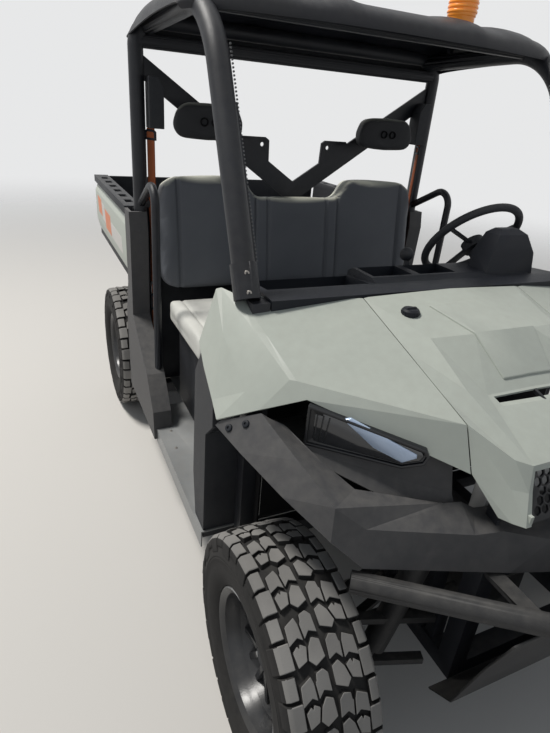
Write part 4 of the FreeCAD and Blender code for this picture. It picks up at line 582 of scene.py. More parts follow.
def tyre(node, outer_way):
    """Detailed tyre in the place of a plain one. outer_way (+1 on the driver's side, -1 on the other) is not used."""
    low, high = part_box(node)
    centre = (low + high) / 2 if isinstance(low, Vector) else Vector([(a + b) / 2 for a, b in zip(low, high)])
    half = (high[0] - low[0]) / 2
    spread_by = half / 0.1145
    pitch_angle = 360 / PITCHES
    pitch = math.tau * TREAD_TOP / PITCHES
    stock = []
    for side in (1, -1):
        shift = 0.0 if side == 1 else pitch / 2
        for corners in MIDDLE_BLOCKS:
            places = [(centre.x + side * across * spread_by / 1000, centre.y - pitch / 2 + along / 1000,
                       centre.z + TREAD_TOP - GROOVE - 0.006) for across, along in corners]
            rubber = block("tread_block", places, (0, 0, GROOVE + 0.006), 0.95, 0.0010)
            rubber.data.transform(turn_about(centre, "X", -math.degrees(shift / TREAD_TOP)))
            stock.append(tread_faces(rubber))
        for section, length, start in SHOULDER_LUGS:
            places = [(centre.x + side * across * spread_by / 1000, centre.y - length / 2000,
                       centre.z + TREAD_TOP - below / 1000) for across, below in section]
            lug = block("shoulder_lug", places, (0, length / 1000, 0), 1.0, 0.0016)
            angle = (start + length / 2) / 1000 / TREAD_TOP + shift / TREAD_TOP
            lug.data.transform(turn_about(centre, "X", -math.degrees(angle) + pitch_angle / 2))
            stock.append(tread_faces(lug))
    # The carcass: tread band, shoulder, sidewall with fine rings, bead, and back along the inside.
    half_section = [(0, 320.5), (60, 320), (88, 316), (102, 306), (109, 292), (112.2, 278), (113.2, 276),
                    (113.2, 272), (112.2, 270), (113.6, 268), (113.6, 264), (112.6, 262), (113.4, 244),
                    (111, 226), (106, 210), (100, 198), (96.5, 194), (93, 193), (91, 189), (89, 181), (84, 176),
                    (70, 178), (84, 200), (92, 230), (94, 262), (84, 292), (50, 300)]
    profile = [(across * spread_by / 1000, radius / 1000) for across, radius in half_section]
    profile += [(-across, radius) for across, radius in reversed(profile[1:])]
    carcass = turned("carcass", profile, centre, "X", 90)
    carcass.data.materials.append(FINISHES["tyre"])
    carcass.data.materials.append(FINISHES["tread"])
    rubber = merged("one_pitch", stock)
    pieces = [carcass, rubber]
    pieces += [copied(rubber, turn_about(centre, "X", step * pitch_angle)) for step in range(1, PITCHES)]
    whole = merged(node.replace("_tyre", "_rubber"), pieces)
    smooth(whole, 32)
    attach(whole, BODY_OF[node])
    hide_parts(node)
    return whole


for corner in ("front_left", "front_right", "rear_left", "rear_right"):
    made = tyre(corner + "_tyre", 1 if "left" in corner else -1)
print("tyres, triangles each", sum(len(p.vertices) - 2 for p in made.data.polygons))

# %% [markdown]
# The wheel is a cast one: a barrel with two bright lips, a dished face with seven twin spokes, a hub cap
# and four nuts. Barrel and hub are spun sections. One pair of spokes is a tapered block, copied round the
# hub. All of it sits where the plain wheel of the model sits, and turns with it.

# %% Wheels
def wheel(node, outer_way):
    low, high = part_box(node)
    centre = Vector([(a + b) / 2 for a, b in zip(low, high)])
    half = (high[0] - low[0]) / 2
    face = outer_way * (half - 0.040)
    disc_x = half - 0.060

    def section(points):
        return [(outer_way * along, radius) for along, radius in points]

    barrel = turned("barrel", section([
        (half, 0.188), (half - 0.003, 0.1905), (half - 0.010, 0.190), (half - 0.013, 0.178), (half - 0.030, 0.174),
        (half - 0.045, 0.166), (-half + 0.040, 0.160), (-half + 0.013, 0.174), (-half + 0.010, 0.190),
        (-half + 0.003, 0.1905), (-half, 0.188), (-half, 0.184), (-half + 0.008, 0.170), (-half + 0.040, 0.152),
        (half - 0.048, 0.158), (half - 0.034, 0.166), (half - 0.012, 0.171), (half - 0.004, 0.180)]), centre, "X", 96)
    barrel.data.materials.append(FINISHES["rim"])
    barrel.data.materials.append(FINISHES["aluminium"])
    for face_of in barrel.data.polygons:
        radius = math.hypot(face_of.center.y - centre.y, face_of.center.z - centre.z)
        outside = (face_of.center.x - centre.x) * outer_way > half - 0.014
        face_of.material_index = 1 if outside and radius > 0.1865 else 0
    plate = turned("plate", section([
        (disc_x - 0.004, 0.160), (disc_x + 0.006, 0.157), (disc_x + 0.010, 0.148), (disc_x - 0.022, 0.136),
        (disc_x - 0.030, 0.100), (disc_x - 0.026, 0.070), (disc_x - 0.010, 0.062), (disc_x - 0.010, 0.0005),
        (disc_x - 0.036, 0.0005), (disc_x - 0.036, 0.100), (disc_x - 0.030, 0.150), (disc_x - 0.012, 0.160)]),
        centre, "X", 72)
    plate.data.materials.append(FINISHES["rim"])
    cap = turned("hub_cap", section([
        (disc_x + 0.012, 0.0005), (disc_x + 0.012, 0.018), (disc_x + 0.009, 0.026), (disc_x + 0.002, 0.0295),
        (disc_x - 0.012, 0.030), (disc_x - 0.012, 0.0005)]), centre, "X", 40)
    cap.data.materials.append(FINISHES["black_plastic"])
    spokes = []
    for lean in (-1, 1):
        corners = [(centre.x + outer_way * (disc_x - 0.034), centre.y + lean * 0.006, centre.z + 0.048),
                   (centre.x + outer_way * (disc_x - 0.034), centre.y + lean * 0.026, centre.z + 0.048),
                   (centre.x + outer_way * (disc_x - 0.034), centre.y + lean * 0.040, centre.z + 0.153),
                   (centre.x + outer_way * (disc_x - 0.034), centre.y + lean * 0.020, centre.z + 0.157)]
        spoke = block("spoke", corners, (outer_way * 0.034, 0, 0), 0.86, 0.0025, 2)
        spoke.data.materials.append(FINISHES["rim"])
        spokes.append(spoke)
    pair = merged("spoke_pair", spokes)
    pairs = [pair] + [copied(pair, turn_about(centre, "X", step * 360 / 7)) for step in range(1, 7)]
    nuts = []
    for step in range(4):
        angle = math.radians(45 + 90 * step)
        middle = (centre.x + outer_way * (disc_x - 0.012), centre.y + 0.050 * math.cos(angle),
                  centre.z + 0.050 * math.sin(angle))
        ring = [(middle[0], middle[1] + 0.0095 * math.cos(k * math.tau / 6),
                 middle[2] + 0.0095 * math.sin(k * math.tau / 6)) for k in range(6)]
        nut = block("wheel_nut", ring, (outer_way * 0.016, 0, 0), 0.9, 0.001)
        nut.data.materials.append(FINISHES["aluminium"])
        nuts.append(nut)
    whole = merged(node.replace("_rim", "_wheel_casting"), [barrel, plate, cap] + pairs + nuts)
    smooth(whole, 30)
    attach(whole, BODY_OF[node])
    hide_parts(node)
    return whole


for corner in ("front_left", "front_right", "rear_left", "rear_right"):
    made = wheel(corner + "_rim", 1 if "left" in corner else -1)
print("wheels, triangles each", sum(len(p.vertices) - 2 for p in made.data.polygons))

# %% [markdown]
# The seats are vinyl over foam. A cover like this pulls tight over the foam and bulges between its seams,
# and a cloth simulation gives exactly that. Each pad starts as a slightly smaller block, is remeshed to an
# even skin, and is then blown up a little while the seam lines are held. How far a point may move is
# capped, so no pad leaves its place. The seam grooves are pressed in afterwards.

# %% Cloth for the padded pieces
def press_in(piece, near, push, reach):
    """Presses a seam groove into a skin: the points near the line go in, their neighbours follow softly."""
    deselect()
    piece.select_set(True)
    bpy.context.view_layer.objects.active = piece
    bpy.ops.object.mode_set(mode="EDIT")
    grid = bmesh.from_edit_mesh(piece.data)
    for face in grid.faces:
        face.select_set(False)
    for vertex in grid.verts:
        vertex.select_set(bool(near(vertex.co)))
    bmesh.update_edit_mesh(piece.data)
    bpy.ops.transform.translate(value=push, use_proportional_edit=True, proportional_edit_falloff="SMOOTH",
                                proportional_size=reach, use_proportional_connected=True)
    bpy.ops.object.mode_set(mode="OBJECT")


def stuffed(piece, voxel, cap, held, pressure=4.0):
    """Turns a block into a padded skin, with the held points staying where they are."""
    deselect()
    piece.select_set(True)
    bpy.context.view_layer.objects.active = piece
    skin = piece.modifiers.new("skin", "REMESH")
    skin.mode = "VOXEL"
    skin.voxel_size = voxel
    bpy.ops.object.modifier_apply(modifier="skin")
    ease = piece.modifiers.new("ease", "SMOOTH")
    ease.iterations = 4
    bpy.ops.object.modifier_apply(modifier="ease")
    sewn = piece.vertex_groups.new(name="sewn")
    sewn.add([v.index for v in piece.data.vertices if held(v.co)], 1.0, "ADD")
    cloth = piece.modifiers.new("cloth", "CLOTH")
    cloth.settings.quality = 4
    cloth.settings.use_pressure = True
    cloth.settings.uniform_pressure_force = pressure
    cloth.settings.effector_weights.gravity = 0
    cloth.settings.vertex_group_mass = "sewn"
    cloth.settings.tension_stiffness = 25
    cloth.settings.compression_stiffness = 25
    cloth.point_cache.frame_start = 1
    cloth.point_cache.frame_end = 20
    before = [v.co.copy() for v in piece.data.vertices]
    for moment in range(1, 21):
        bpy.context.scene.frame_set(moment)
    bpy.ops.object.modifier_apply(modifier="cloth")
    bpy.context.scene.frame_set(1)
    for vertex, start in zip(piece.data.vertices, before):
        moved = vertex.co - start
        if moved.length > cap:
            vertex.co = start + moved * (cap / moved.length)
    piece.vertex_groups.clear()
    finer = piece.modifiers.new("finer", "SUBSURF")
    finer.levels = 1
    finer.render_levels = 1
    bpy.ops.object.modifier_apply(modifier="finer")
    return piece


def finish_pad(piece, nodes, finish_name, body):
    dress(piece, finish_name, body)
    smooth(piece, 60)
    if nodes:
        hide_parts(*nodes)
    print(piece.name, "triangles", sum(len(p.vertices) - 2 for p in piece.data.polygons))


# %% [markdown]
# The back rest is one wide panel with a dip in the middle of its top edge, so that the driver can see and
# reach behind. Two seams run down each side of the dip and split it into a middle, two narrow and two wide
# panels. It leans back by eight degrees.

# %% Back rest
LEAN = math.radians(8)
BACK_FOOT = (0.288, 0.870)
BACK_TOP = 0.477
BACK_SEAMS = (0.150, 0.212, 0.565)


def leaned(across, height, depth):
    """Place on the back rest: across, up along its front face, and back into it."""
    return (across, BACK_FOOT[0] + height * math.sin(LEAN) + depth * math.cos(LEAN),
            BACK_FOOT[1] + height * math.cos(LEAN) - depth * math.sin(LEAN))


half_shape = [(0.575, 0.004), (0.622, 0.020), (0.642, 0.062), (0.640, 0.380), (0.622, 0.440), (0.572, 0.470),
              (0.285, BACK_TOP), (0.258, 0.462), (0.225, 0.410), (0.196, 0.392)]
back_shape = half_shape + [(-u, v) for u, v in reversed(half_shape)]
back_rest = block("back_rest", [leaned(u, v, 0.012) for u, v in back_shape],
                  Vector(leaned(0, 0, 0.112)) - Vector(leaned(0, 0, 0.012)), 1.0, 0.014, 3)


def on_back_seam(co):
    near_seam = min(abs(abs(co.x) - seam) for seam in BACK_SEAMS) < 0.005
    return co.y > BACK_FOOT[0] + 0.075 + (co.z - BACK_FOOT[1]) * math.tan(LEAN) or near_seam


stuffed(back_rest, 0.009, 0.022, on_back_seam)
for seam in BACK_SEAMS:
    press_in(back_rest, lambda co: abs(abs(co.x) - seam) < 0.0032 and co.y < BACK_FOOT[0] + 0.060
             + (co.z - BACK_FOOT[1]) * math.tan(LEAN), (0, 0.0085, 0), 0.0095)
finish_pad(back_rest, ["seat_back"], "seat_back_cover", BODY_OF["seat_back"])

# %% [markdown]
# The two seat cushions have a rolled front edge and a flat underside that rests on the seat bin. A seam
# runs round the top, a hand's breadth in from the edge, and one crosses it before the roll.

# %% Seat cushions
def seat_cushion(node):
    low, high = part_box(node)
    low_x, high_x = low[0] + 0.008, high[0] - 0.008
    front, back, foot, top = low[1], high[1], low[2], high[2]
    side = [(back - 0.006, foot + 0.002), (back - 0.006, top - 0.022), (back - 0.030, top - 0.012),
            (front + 0.075, top - 0.010), (front + 0.026, top - 0.026), (front + 0.008, top - 0.058),
            (front + 0.012, foot + 0.020), (front + 0.030, foot + 0.002)]
    pad = block(node.replace("_cushion", "_seat_pad"), [(low_x, y, z) for y, z in side],
                (high_x - low_x, 0, 0), 1.0, 0.012, 3)
    seam_in = 0.052
    roll = front + 0.105

    def held(co):
        edge = min(abs(co.x - low_x - seam_in), abs(high_x - seam_in - co.x), abs(co.y - roll))
        return co.z < top - 0.062 or (co.z > top - 0.040 and edge < 0.0045)

    stuffed(pad, 0.008, 0.016, held)
    for x in (low_x + seam_in, high_x - seam_in):
        press_in(pad, lambda co: abs(co.x - x) < 0.003 and co.z > top - 0.030, (0, 0, -0.005), 0.010)
    press_in(pad, lambda co: abs(co.y - roll) < 0.003 and co.z > top - 0.030
             and low_x + seam_in < co.x < high_x - seam_in, (0, 0, -0.005), 0.010)
    finish_pad(pad, [node], SLOT_OF[node], BODY_OF[node])


seat_cushion("driver_cushion")
seat_cushion("passenger_cushion")

# %% [markdown]
# Each headrest is a moulded pad, wider below the middle than at its top, on a short post that is bolted to
# the V brace. Its two finger holes are small turned cups set into the front. Pad and post replace the
# model's one solid.

# %% Headrests
HEAD_SHAPE = [(-0.128, 1.600), (-0.098, 1.612), (0.000, 1.616), (0.098, 1.613), (0.130, 1.588), (0.149, 1.530),
              (0.135, 1.496), (0.110, 1.482), (0.000, 1.477), (-0.122, 1.485), (-0.144, 1.502), (-0.149, 1.548)]
HEAD_FRONT, HEAD_BACK = 0.312, 0.386
BRACE_FACE = 0.431
pads = []
for name, middle, side in (("driver_head_pad", 0.408, 1), ("passenger_head_pad", -0.446, -1)):
    pad = block(name, [(middle + u * side, HEAD_FRONT, v) for u, v in HEAD_SHAPE],
                (0, HEAD_BACK - HEAD_FRONT, 0), 0.9, 0.016, 3)
    stuffed(pad, 0.006, 0.005, lambda co: co.y > HEAD_BACK - 0.006
            or math.hypot(co.x - middle, co.z - 1.546) < 0.045, 1.5)
    finish_pad(pad, [], "seat_head_cover", BODY_OF["headrests"])
    pads.append(pad)
    for offset in (-0.022, 0.024):
        cup = turned(name.replace("pad", "cup") + ("_a" if offset < 0 else "_b"),
                     [(-0.004, 0.0165), (-0.007, 0.0145), (-0.004, 0.0115), (0.016, 0.0105), (0.016, 0.0002),
                      (0.022, 0.0002), (0.022, 0.0165)], (middle + offset, HEAD_FRONT - 0.001, 1.546), "Y", 28)
        smooth(cup)
        dress(cup, "engine_bay", BODY_OF["headrests"])
    bracket = block(name.replace("pad", "bracket"),
                    [(middle - 0.034, HEAD_BACK - 0.004, 1.500), (middle + 0.034, HEAD_BACK - 0.004, 1.500),
                     (middle + 0.028, HEAD_BACK - 0.004, 1.566), (middle - 0.028, HEAD_BACK - 0.004, 1.566)],
                    (0, BRACE_FACE - HEAD_BACK + 0.004, 0), 1.0, 0.004, 2)
    smooth(bracket)
    dress(bracket, "black_steel", BODY_OF["headrests"])
    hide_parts("headrests")
print("padded pieces done")

# %% [markdown]
# A headlamp is a black shell sunk between hood and fascia, behind a smooth dark lens. Inside, a long
# reflector strip runs down to the inner corner and reflects the sky, and thin fins divide the dark part.
# The strip's pale blue colour is a painted sky reflection on top of its own metal sheen.
# The shell is the model's own lamp face: its front is inset to a bezel and sunk. Strip and fins are thin
# blocks on that sunken floor.

# %% Headlamps
LAMP_OUT = Vector((-0.617, -0.776, 0.133)).normalized()
lamp_corners = [(-0.604, -0.977, 1.004), (-0.610, -0.985, 0.902), (-0.430, -1.131, 0.893), (-0.392, -1.161, 0.914),
                (-0.384, -1.163, 0.934), (-0.390, -1.156, 0.950)]


def on_lamp(point, out):
    """A point on the lamp's face, moved out of it (or into it, when negative)."""
    return Vector(point) + LAMP_OUT * out


shell = block("headlamp_shell_right", [on_lamp(c, -0.046) for c in lamp_corners], LAMP_OUT * 0.050)
deselect()
shell.select_set(True)
bpy.context.view_layer.objects.active = shell
bpy.ops.object.mode_set(mode="EDIT")
select_faces(shell, lambda centre, normal: normal.dot(LAMP_OUT) > 0.9)
bpy.ops.mesh.inset(thickness=0.0065)
bpy.ops.mesh.extrude_region_move(TRANSFORM_OT_translate={"value": LAMP_OUT * -0.010})
bpy.ops.mesh.inset(thickness=0.012)
bpy.ops.mesh.extrude_region_move(TRANSFORM_OT_translate={"value": LAMP_OUT * -0.010})
bpy.ops.mesh.select_all(action="SELECT")
bpy.ops.mesh.bevel(offset=0.0016, segments=2, affect="EDGES")
bpy.ops.object.mode_set(mode="OBJECT")
smooth(shell, 30)
dress(shell, "lamp_shell", BODY_OF["headlamps"])
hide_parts("headlamps")

lens_corners = [(-0.597, -0.975, 0.994), (-0.601, -0.983, 0.910), (-0.434, -1.126, 0.902), (-0.400, -1.154, 0.920),
                (-0.393, -1.157, 0.934), (-0.397, -1.152, 0.944)]
lens_glass = block("headlamp_lens_right", [on_lamp(c, -0.016) for c in lens_corners], LAMP_OUT * 0.016, 0.985, 0.003, 3)
smooth(lens_glass, 40)
dress(lens_glass, "lamp_lens", BODY_OF["headlamps"])
strip_corners = [(-0.541, -1.028, 0.985), (-0.526, -1.039, 0.992), (-0.405, -1.147, 0.936), (-0.404, -1.148, 0.926),
                 (-0.430, -1.131, 0.908), (-0.483, -1.085, 0.930), (-0.514, -1.054, 0.960)]
strip = block("headlamp_strip_right", [on_lamp(c, -0.004) for c in strip_corners], LAMP_OUT * 0.0062, 0.97, 0.001, 2)
smooth(strip, 30)
dress(strip, "lamp_strip", BODY_OF["headlamps"])
fins = []
for share in (0.12, 0.22, 0.32):
    high = Vector(lens_corners[0]).lerp(Vector(lens_corners[5]), share * 0.55) - Vector((0, 0, 0.006))
    low = Vector(lens_corners[1]).lerp(Vector(lens_corners[2]), share * 0.55) + Vector((0, 0, 0.006))
    along = (Vector(lens_corners[5]) - Vector(lens_corners[0])).normalized() * 0.0035
    fins.append(block("fin", [on_lamp(high, -0.003), on_lamp(high + along, -0.003), on_lamp(low + along, -0.003),
                              on_lamp(low, -0.003)], LAMP_OUT * 0.0045, 1.0, 0.0008))
fin_row = merged("headlamp_fins_right", fins)
smooth(fin_row)
dress(fin_row, "lamp_shell", BODY_OF["headlamps"])
for one, finish_name, slot in ((shell, "lamp_shell", "black_plastic"), (lens_glass, "lamp_lens", "lamp_lens"),
                               (strip, "lamp_strip", "lamp_lens"), (fin_row, "lamp_shell", "black_plastic")):
    twin = reflected(one)
    twin.name = one.name.replace("right", "left")
    dress(twin, finish_name, BODY_OF["headlamps"])
    if one is shell:
        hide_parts("headlamps")
print("headlamps done")

# %% [markdown]
# The hood carries a low raised plate in its middle and a scoop with one upright bar. The plate follows
# the hood's own facets, so it is cut out of a copy of the hood with four upright planes and then given a
# few millimetres of height. Its place is left bare.

# %% Raised plate on the hood
def cut_out(source, name, planes, facing):
    """Copy of a piece, cut by planes (point, normal that points to the waste), with only the faces that face one way."""
    piece = bpy.data.objects.new(name, source.data.copy())
    bpy.context.scene.collection.objects.link(piece)
    deselect()
    piece.select_set(True)
    bpy.context.view_layer.objects.active = piece
    bpy.ops.object.mode_set(mode="EDIT")
    bpy.ops.mesh.select_all(action="SELECT")
    bpy.ops.mesh.remove_doubles(threshold=0.00005)
    for point, waste in planes:
        bpy.ops.mesh.select_all(action="SELECT")
        bpy.ops.mesh.bisect(plane_co=point, plane_no=waste, clear_outer=True)
    select_faces(piece, lambda centre, normal: not facing(centre, normal))
    bpy.ops.mesh.delete(type="FACE")
    return piece


PLATE_PLANES = [((0, -0.790, 1), (0, 1, 0)), ((0, -1.055, 1), (0, -1, 0)),
                ((-0.140, -0.790, 1), (-0.98, -0.20, 0)), ((0.140, -0.790, 1), (0.98, -0.20, 0))]
plate = cut_out(frame["nodes"]["hood"], "hood_plate", PLATE_PLANES,
                lambda centre, normal: normal.z > 0.5 and centre.z > 1.0)
bpy.ops.mesh.select_all(action="SELECT")
bpy.ops.mesh.dissolve_limited(angle_limit=math.radians(1.5))
bpy.ops.mesh.select_all(action="SELECT")
bpy.ops.transform.translate(value=(0, 0, -0.002))
bpy.ops.mesh.extrude_region_move(TRANSFORM_OT_translate={"value": (0, -0.001, 0.0065)})
bpy.ops.mesh.select_all(action="SELECT")
bpy.ops.mesh.normals_make_consistent(inside=False)
bpy.ops.object.mode_set(mode="OBJECT")
rounding = plate.modifiers.new("rounding", "BEVEL")
rounding.width = 0.0028
rounding.segments = 2
rounding.limit_method = "ANGLE"
rounding.angle_limit = math.radians(40)
bpy.ops.object.modifier_apply(modifier="rounding")
smooth(plate, 12)
dress(plate, "sage_panel", BODY_OF["hood"])
print("plate faces", len(plate.data.polygons))

# %% [markdown]
# The scoop in the hood has one upright bar in its opening. It is a small block that reaches from
# the lower lip to the upper one.

# %% Bar in the hood's scoop
bar = block("scoop_bar", [(0.004, -1.130, 0.990), (-0.004, -1.130, 0.990), (-0.004, -1.084, 1.004),
                          (0.004, -1.084, 1.004)], (0, 0, 0.0125), 1.0, 0.0015)
smooth(bar)
dress(bar, "grille_black", BODY_OF["hood"])

# %% [markdown]
# The side of the bed is a painted skin that stands a little out from the black box. Its top is folded
# inwards, and three stripes in white and orange run along its rear half. The skin's section is drawn
# across the vehicle, with its fold, and pushed out along the bed. The stripes are thin film, a fraction
# of a millimetre thick, laid on the skin.

# %% Bed sides
low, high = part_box("bed_side_panels")
OUT_X, SKIN_TOP, SKIN_FOOT = high[0], high[2], low[2]
BED_Y0, BED_Y1 = low[1], high[1]
section = [(OUT_X - 0.024, SKIN_TOP - 0.004), (OUT_X - 0.019, SKIN_TOP - 0.004), (OUT_X - 0.001, SKIN_TOP - 0.046),
           (OUT_X - 0.001, SKIN_FOOT + 0.050), (OUT_X - 0.010, SKIN_FOOT + 0.002), (OUT_X - 0.020, SKIN_FOOT + 0.002)]
skin = block("bed_skin_left", [(x, BED_Y0, z) for x, z in section], (0, BED_Y1 - BED_Y0 - 0.004, 0))
deselect()
skin.select_set(True)
bpy.context.view_layer.objects.active = skin
bpy.ops.object.mode_set(mode="EDIT")
for point, waste in (((0, BED_Y1 - 0.010, SKIN_FOOT + 0.060), (0, 0.82, -0.57)),):
    bpy.ops.mesh.select_all(action="SELECT")
    bpy.ops.mesh.bisect(plane_co=point, plane_no=waste, clear_outer=True, use_fill=True)
bpy.ops.mesh.select_all(action="SELECT")
bpy.ops.mesh.bevel(offset=0.0022, segments=2, affect="EDGES")
bpy.ops.object.mode_set(mode="OBJECT")
smooth(skin, 14)
dress(skin, "sage_panel", BODY_OF["bed_side_panels"])
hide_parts("bed_side_panels")
films = []
for name, finish_name, y0, y1, z0, z1 in (("white_front", "stripe_light", 0.600, 0.930, 0.955, 1.030),
                                          ("orange_middle", "stripe_orange", 0.940, 1.130, 0.960, 1.060),
                                          ("white_middle", "stripe_light", 1.140, 1.250, 0.985, 1.075),
                                          ("orange_rear", "stripe_orange", 1.260, 1.400, 1.000, 1.090)):
    film = block("stripe_" + name, [(OUT_X - 0.0012, y0, z0), (OUT_X - 0.0012, y1, z0 + 0.004),
                                    (OUT_X - 0.0012, y1 + 0.030, z1), (OUT_X - 0.0012, y0 + 0.030, z1 - 0.004)],
                 (0.0009, 0, 0), 1.0, 0.0003)
    dress(film, finish_name, BODY_OF["bed_side_panels"])
    films.append((film, finish_name))
for one, finish_name in [(skin, "sage_panel")] + films:
    twin = reflected(one)
    twin.name = one.name.replace("left", "right") + ("" if "left" in one.name else "_right")
    dress(twin, finish_name, BODY_OF["bed_side_panels"])
    if one is skin:
        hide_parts("bed_side_panels")
print("bed sides done")

# %% [markdown]
# A rubber seal with stitched teeth runs up the back of each front pillar. One tooth is a tiny rounded
# block, copied along the pillar. Two socket screws hold the casting at the pillar's foot. A lip of black
# rubber closes the joint between the firewall's edge and the cab post behind it.

# %% Pillar seals and screws
PILLAR_FOOT = Vector((0.637, -0.650, 1.150))
PILLAR_HEAD = Vector((0.646, -0.297, 1.876))
pillar_way = (PILLAR_HEAD - PILLAR_FOOT).normalized()
pillar_out = Vector((-1, 0, 0))
pillar_back = pillar_way.cross(pillar_out).normalized()
if pillar_back.y < 0:
    pillar_back = -pillar_back
tooth_at = PILLAR_FOOT + pillar_out * 0.0405 + pillar_back * 0.004 + pillar_way * 0.100
tooth = block("seal_tooth", [tooth_at, tooth_at + pillar_way * 0.0055, tooth_at + pillar_way * 0.0075 + pillar_back * 0.007,
                             tooth_at + pillar_way * 0.002 + pillar_back * 0.007], pillar_out * 0.0045, 0.8, 0.0006)
teeth = [tooth] + [copied(tooth, Matrix.Translation(pillar_way * 0.0105 * step)) for step in range(1, 56)]
seal = merged("pillar_seal_left", teeth)
smooth(seal)
dress(seal, "seal_rubber", BODY_OF["rops_front"])
twin = reflected(seal)
twin.name = "pillar_seal_right"
dress(twin, "seal_rubber", BODY_OF["rops_front"])
lip = block("firewall_lip_left", [(0.5845, -0.718, 0.400), (0.592, -0.718, 0.400), (0.592, -0.688, 0.400),
                                  (0.5845, -0.688, 0.400)], (0, 0, 0.385), 1.0, 0.0010)
dress(lip, "engine_bay", BODY_OF["arch_liners"])
twin = reflected(lip)
twin.name = "firewall_lip_right"
dress(twin, "engine_bay", BODY_OF["arch_liners"])


def screw(name, place, way, radius, height, body, finish_name="bare_steel", socket=True):
    """Round-headed screw with a hexagon socket, standing on a surface."""
    way = Vector(way).normalized()
    across = way.orthogonal().normalized()
    beside = way.cross(across)
    place = Vector(place)

    def ring(size, sides, lift, turn=0.0):
        return [place + way * lift + across * size * math.cos(k * math.tau / sides + turn)
                + beside * size * math.sin(k * math.tau / sides + turn) for k in range(sides)]

    head = block(name, ring(radius, 16, -0.002), way * (height + 0.002), 0.82, radius * 0.12, 2)
    if socket:
        deselect()
        head.select_set(True)
        bpy.context.view_layer.objects.active = head
        bpy.ops.object.mode_set(mode="EDIT")
        select_faces(head, lambda centre, normal: normal.dot(way) > 0.95 and (centre - place).dot(way) > height * 0.8)
        bpy.ops.mesh.inset(thickness=radius * 0.36)
        bpy.ops.mesh.extrude_region_move(TRANSFORM_OT_translate={"value": way * -height * 0.55})
        bpy.ops.object.mode_set(mode="OBJECT")
    smooth(head, 32)
    head.data.materials.append(FINISHES[finish_name])
    return head


screws = []
for lift in (0.030, 0.082):
    place = PILLAR_FOOT + pillar_way * lift + Vector((0.15, -0.95, 0)).normalized() * 0.036
    screws.append(screw("pillar_screw", place, (0.15, -0.95, 0.15), 0.0085, 0.005, "frame"))
pillar_screws = merged("pillar_screws_left", screws)
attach(pillar_screws, BODY_OF["rops_front"])
twin = reflected(pillar_screws)
twin.name = "pillar_screws_right"
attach(twin, BODY_OF["rops_front"])
print("pillars done")

# %% [markdown]
# The shoulder belts hang from tall reel housings on the rear pillars. Just below each housing the webbing
# runs through a black slotted guide, and its tongue rests low beside the seat in a short buckle. Guide and
# tongue are flat outlines with a slot, pushed out and rounded.

# %% Belt guides and buckles
def slotted(name, centre, wide, tall, thick, across, upward, out, finish_name, body):
    """Plate with one slot: an outline that runs round the plate and back round the slot."""
    across, upward, out = Vector(across), Vector(upward), Vector(out)
    plate_half = [(wide / 2, -tall / 2), (wide / 2, tall * 0.30), (wide * 0.30, tall / 2), (-wide * 0.30, tall / 2),
                  (-wide / 2, tall * 0.30), (-wide / 2, -tall / 2)]
    piece = block(name, [Vector(centre) + across * u + upward * v - out * thick / 2 for u, v in plate_half],
                  out * thick)
    deselect()
    piece.select_set(True)
    bpy.context.view_layer.objects.active = piece
    bpy.ops.object.mode_set(mode="EDIT")
    select_faces(piece, lambda middle, normal: abs(normal.dot(out)) > 0.9)
    bpy.ops.mesh.inset(thickness=min(wide, tall) * 0.22)
    bpy.ops.mesh.extrude_region_shrink_fatten(TRANSFORM_OT_shrink_fatten={"value": -thick * 0.42})
    bpy.ops.mesh.select_all(action="SELECT")
    bpy.ops.mesh.bevel(offset=thick * 0.14, segments=1, affect="EDGES")
    bpy.ops.object.mode_set(mode="OBJECT")
    smooth(piece)
    dress(piece, finish_name, body)
    return piece


belt_low, belt_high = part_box("seat_belts")
reel_low, reel_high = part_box("belt_reels")
belt_way = Vector((math.cos(math.radians(64)), math.sin(math.radians(64)), 0))
belt_out = Vector((math.sin(math.radians(64)), -math.cos(math.radians(64)), 0))
belt_middle = Vector((0.662, (belt_low[1] + belt_high[1]) / 2, 0))
for side, word in ((1, "left"), (-1, "right")):
    flip = Vector((side, 1, 1))
    for name, height, wide, tall, thick, finish_name in (("belt_guide", reel_low[2] - 0.024, 0.066, 0.040, 0.008, "dash_plastic"),
                                                         ("belt_tongue", 0.842, 0.058, 0.070, 0.006, "aluminium"),
                                                         ("belt_buckle", 0.782, 0.046, 0.080, 0.020, "dash_plastic")):
        centre = belt_middle * flip + Vector((0, 0, height))
        slotted(name + "_" + word, centre, wide, tall, thick, belt_way * flip, (0, 0, 1), belt_out * flip,
                finish_name, BODY_OF["seat_belts"])
print("belt guide at", [round(v, 3) for v in belt_middle])

# %% [markdown]
# Panels are held by small screws that show in the photograph. Each one is placed where the line of sight
# through its picture point meets the panel, so it sits on the real surface and stands square to it. The
# other side of the vehicle gets the same screws.

# %% Panel screws
PICTURE = (550, 733)
PIXELS_TO_FOCUS = LENS / 36 * PICTURE[1]


def seen(piece, u, v):
    """Where the line of sight through a picture point meets a piece, and the surface's direction there."""
    way = (sight + right * ((u - PICTURE[0] / 2) / PIXELS_TO_FOCUS) - up * ((v - PICTURE[1] / 2) / PIXELS_TO_FOCUS))
    met, place, normal, _ = piece.ray_cast(EYE, way.normalized())
    return (place, normal) if met else (None, None)


def fasten(name, node, picture_points, radius, height, finish_name):
    heads = []
    for u, v in picture_points:
        place, normal = seen(SOFTENED[node], u, v)
        if place is None:
            print("no surface for", name, u, v)
            continue
        if normal.dot(sight) > 0:
            normal = -normal
        heads.append(screw(name, place, normal, radius, height, None, finish_name))
    if not heads:
        return
    row = merged(name + "_right", heads)
    twin = reflected(row)
    twin.name = name + "_left"
    for one in (row, twin):
        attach(one, BODY_OF[node])
    print(name, len(heads))


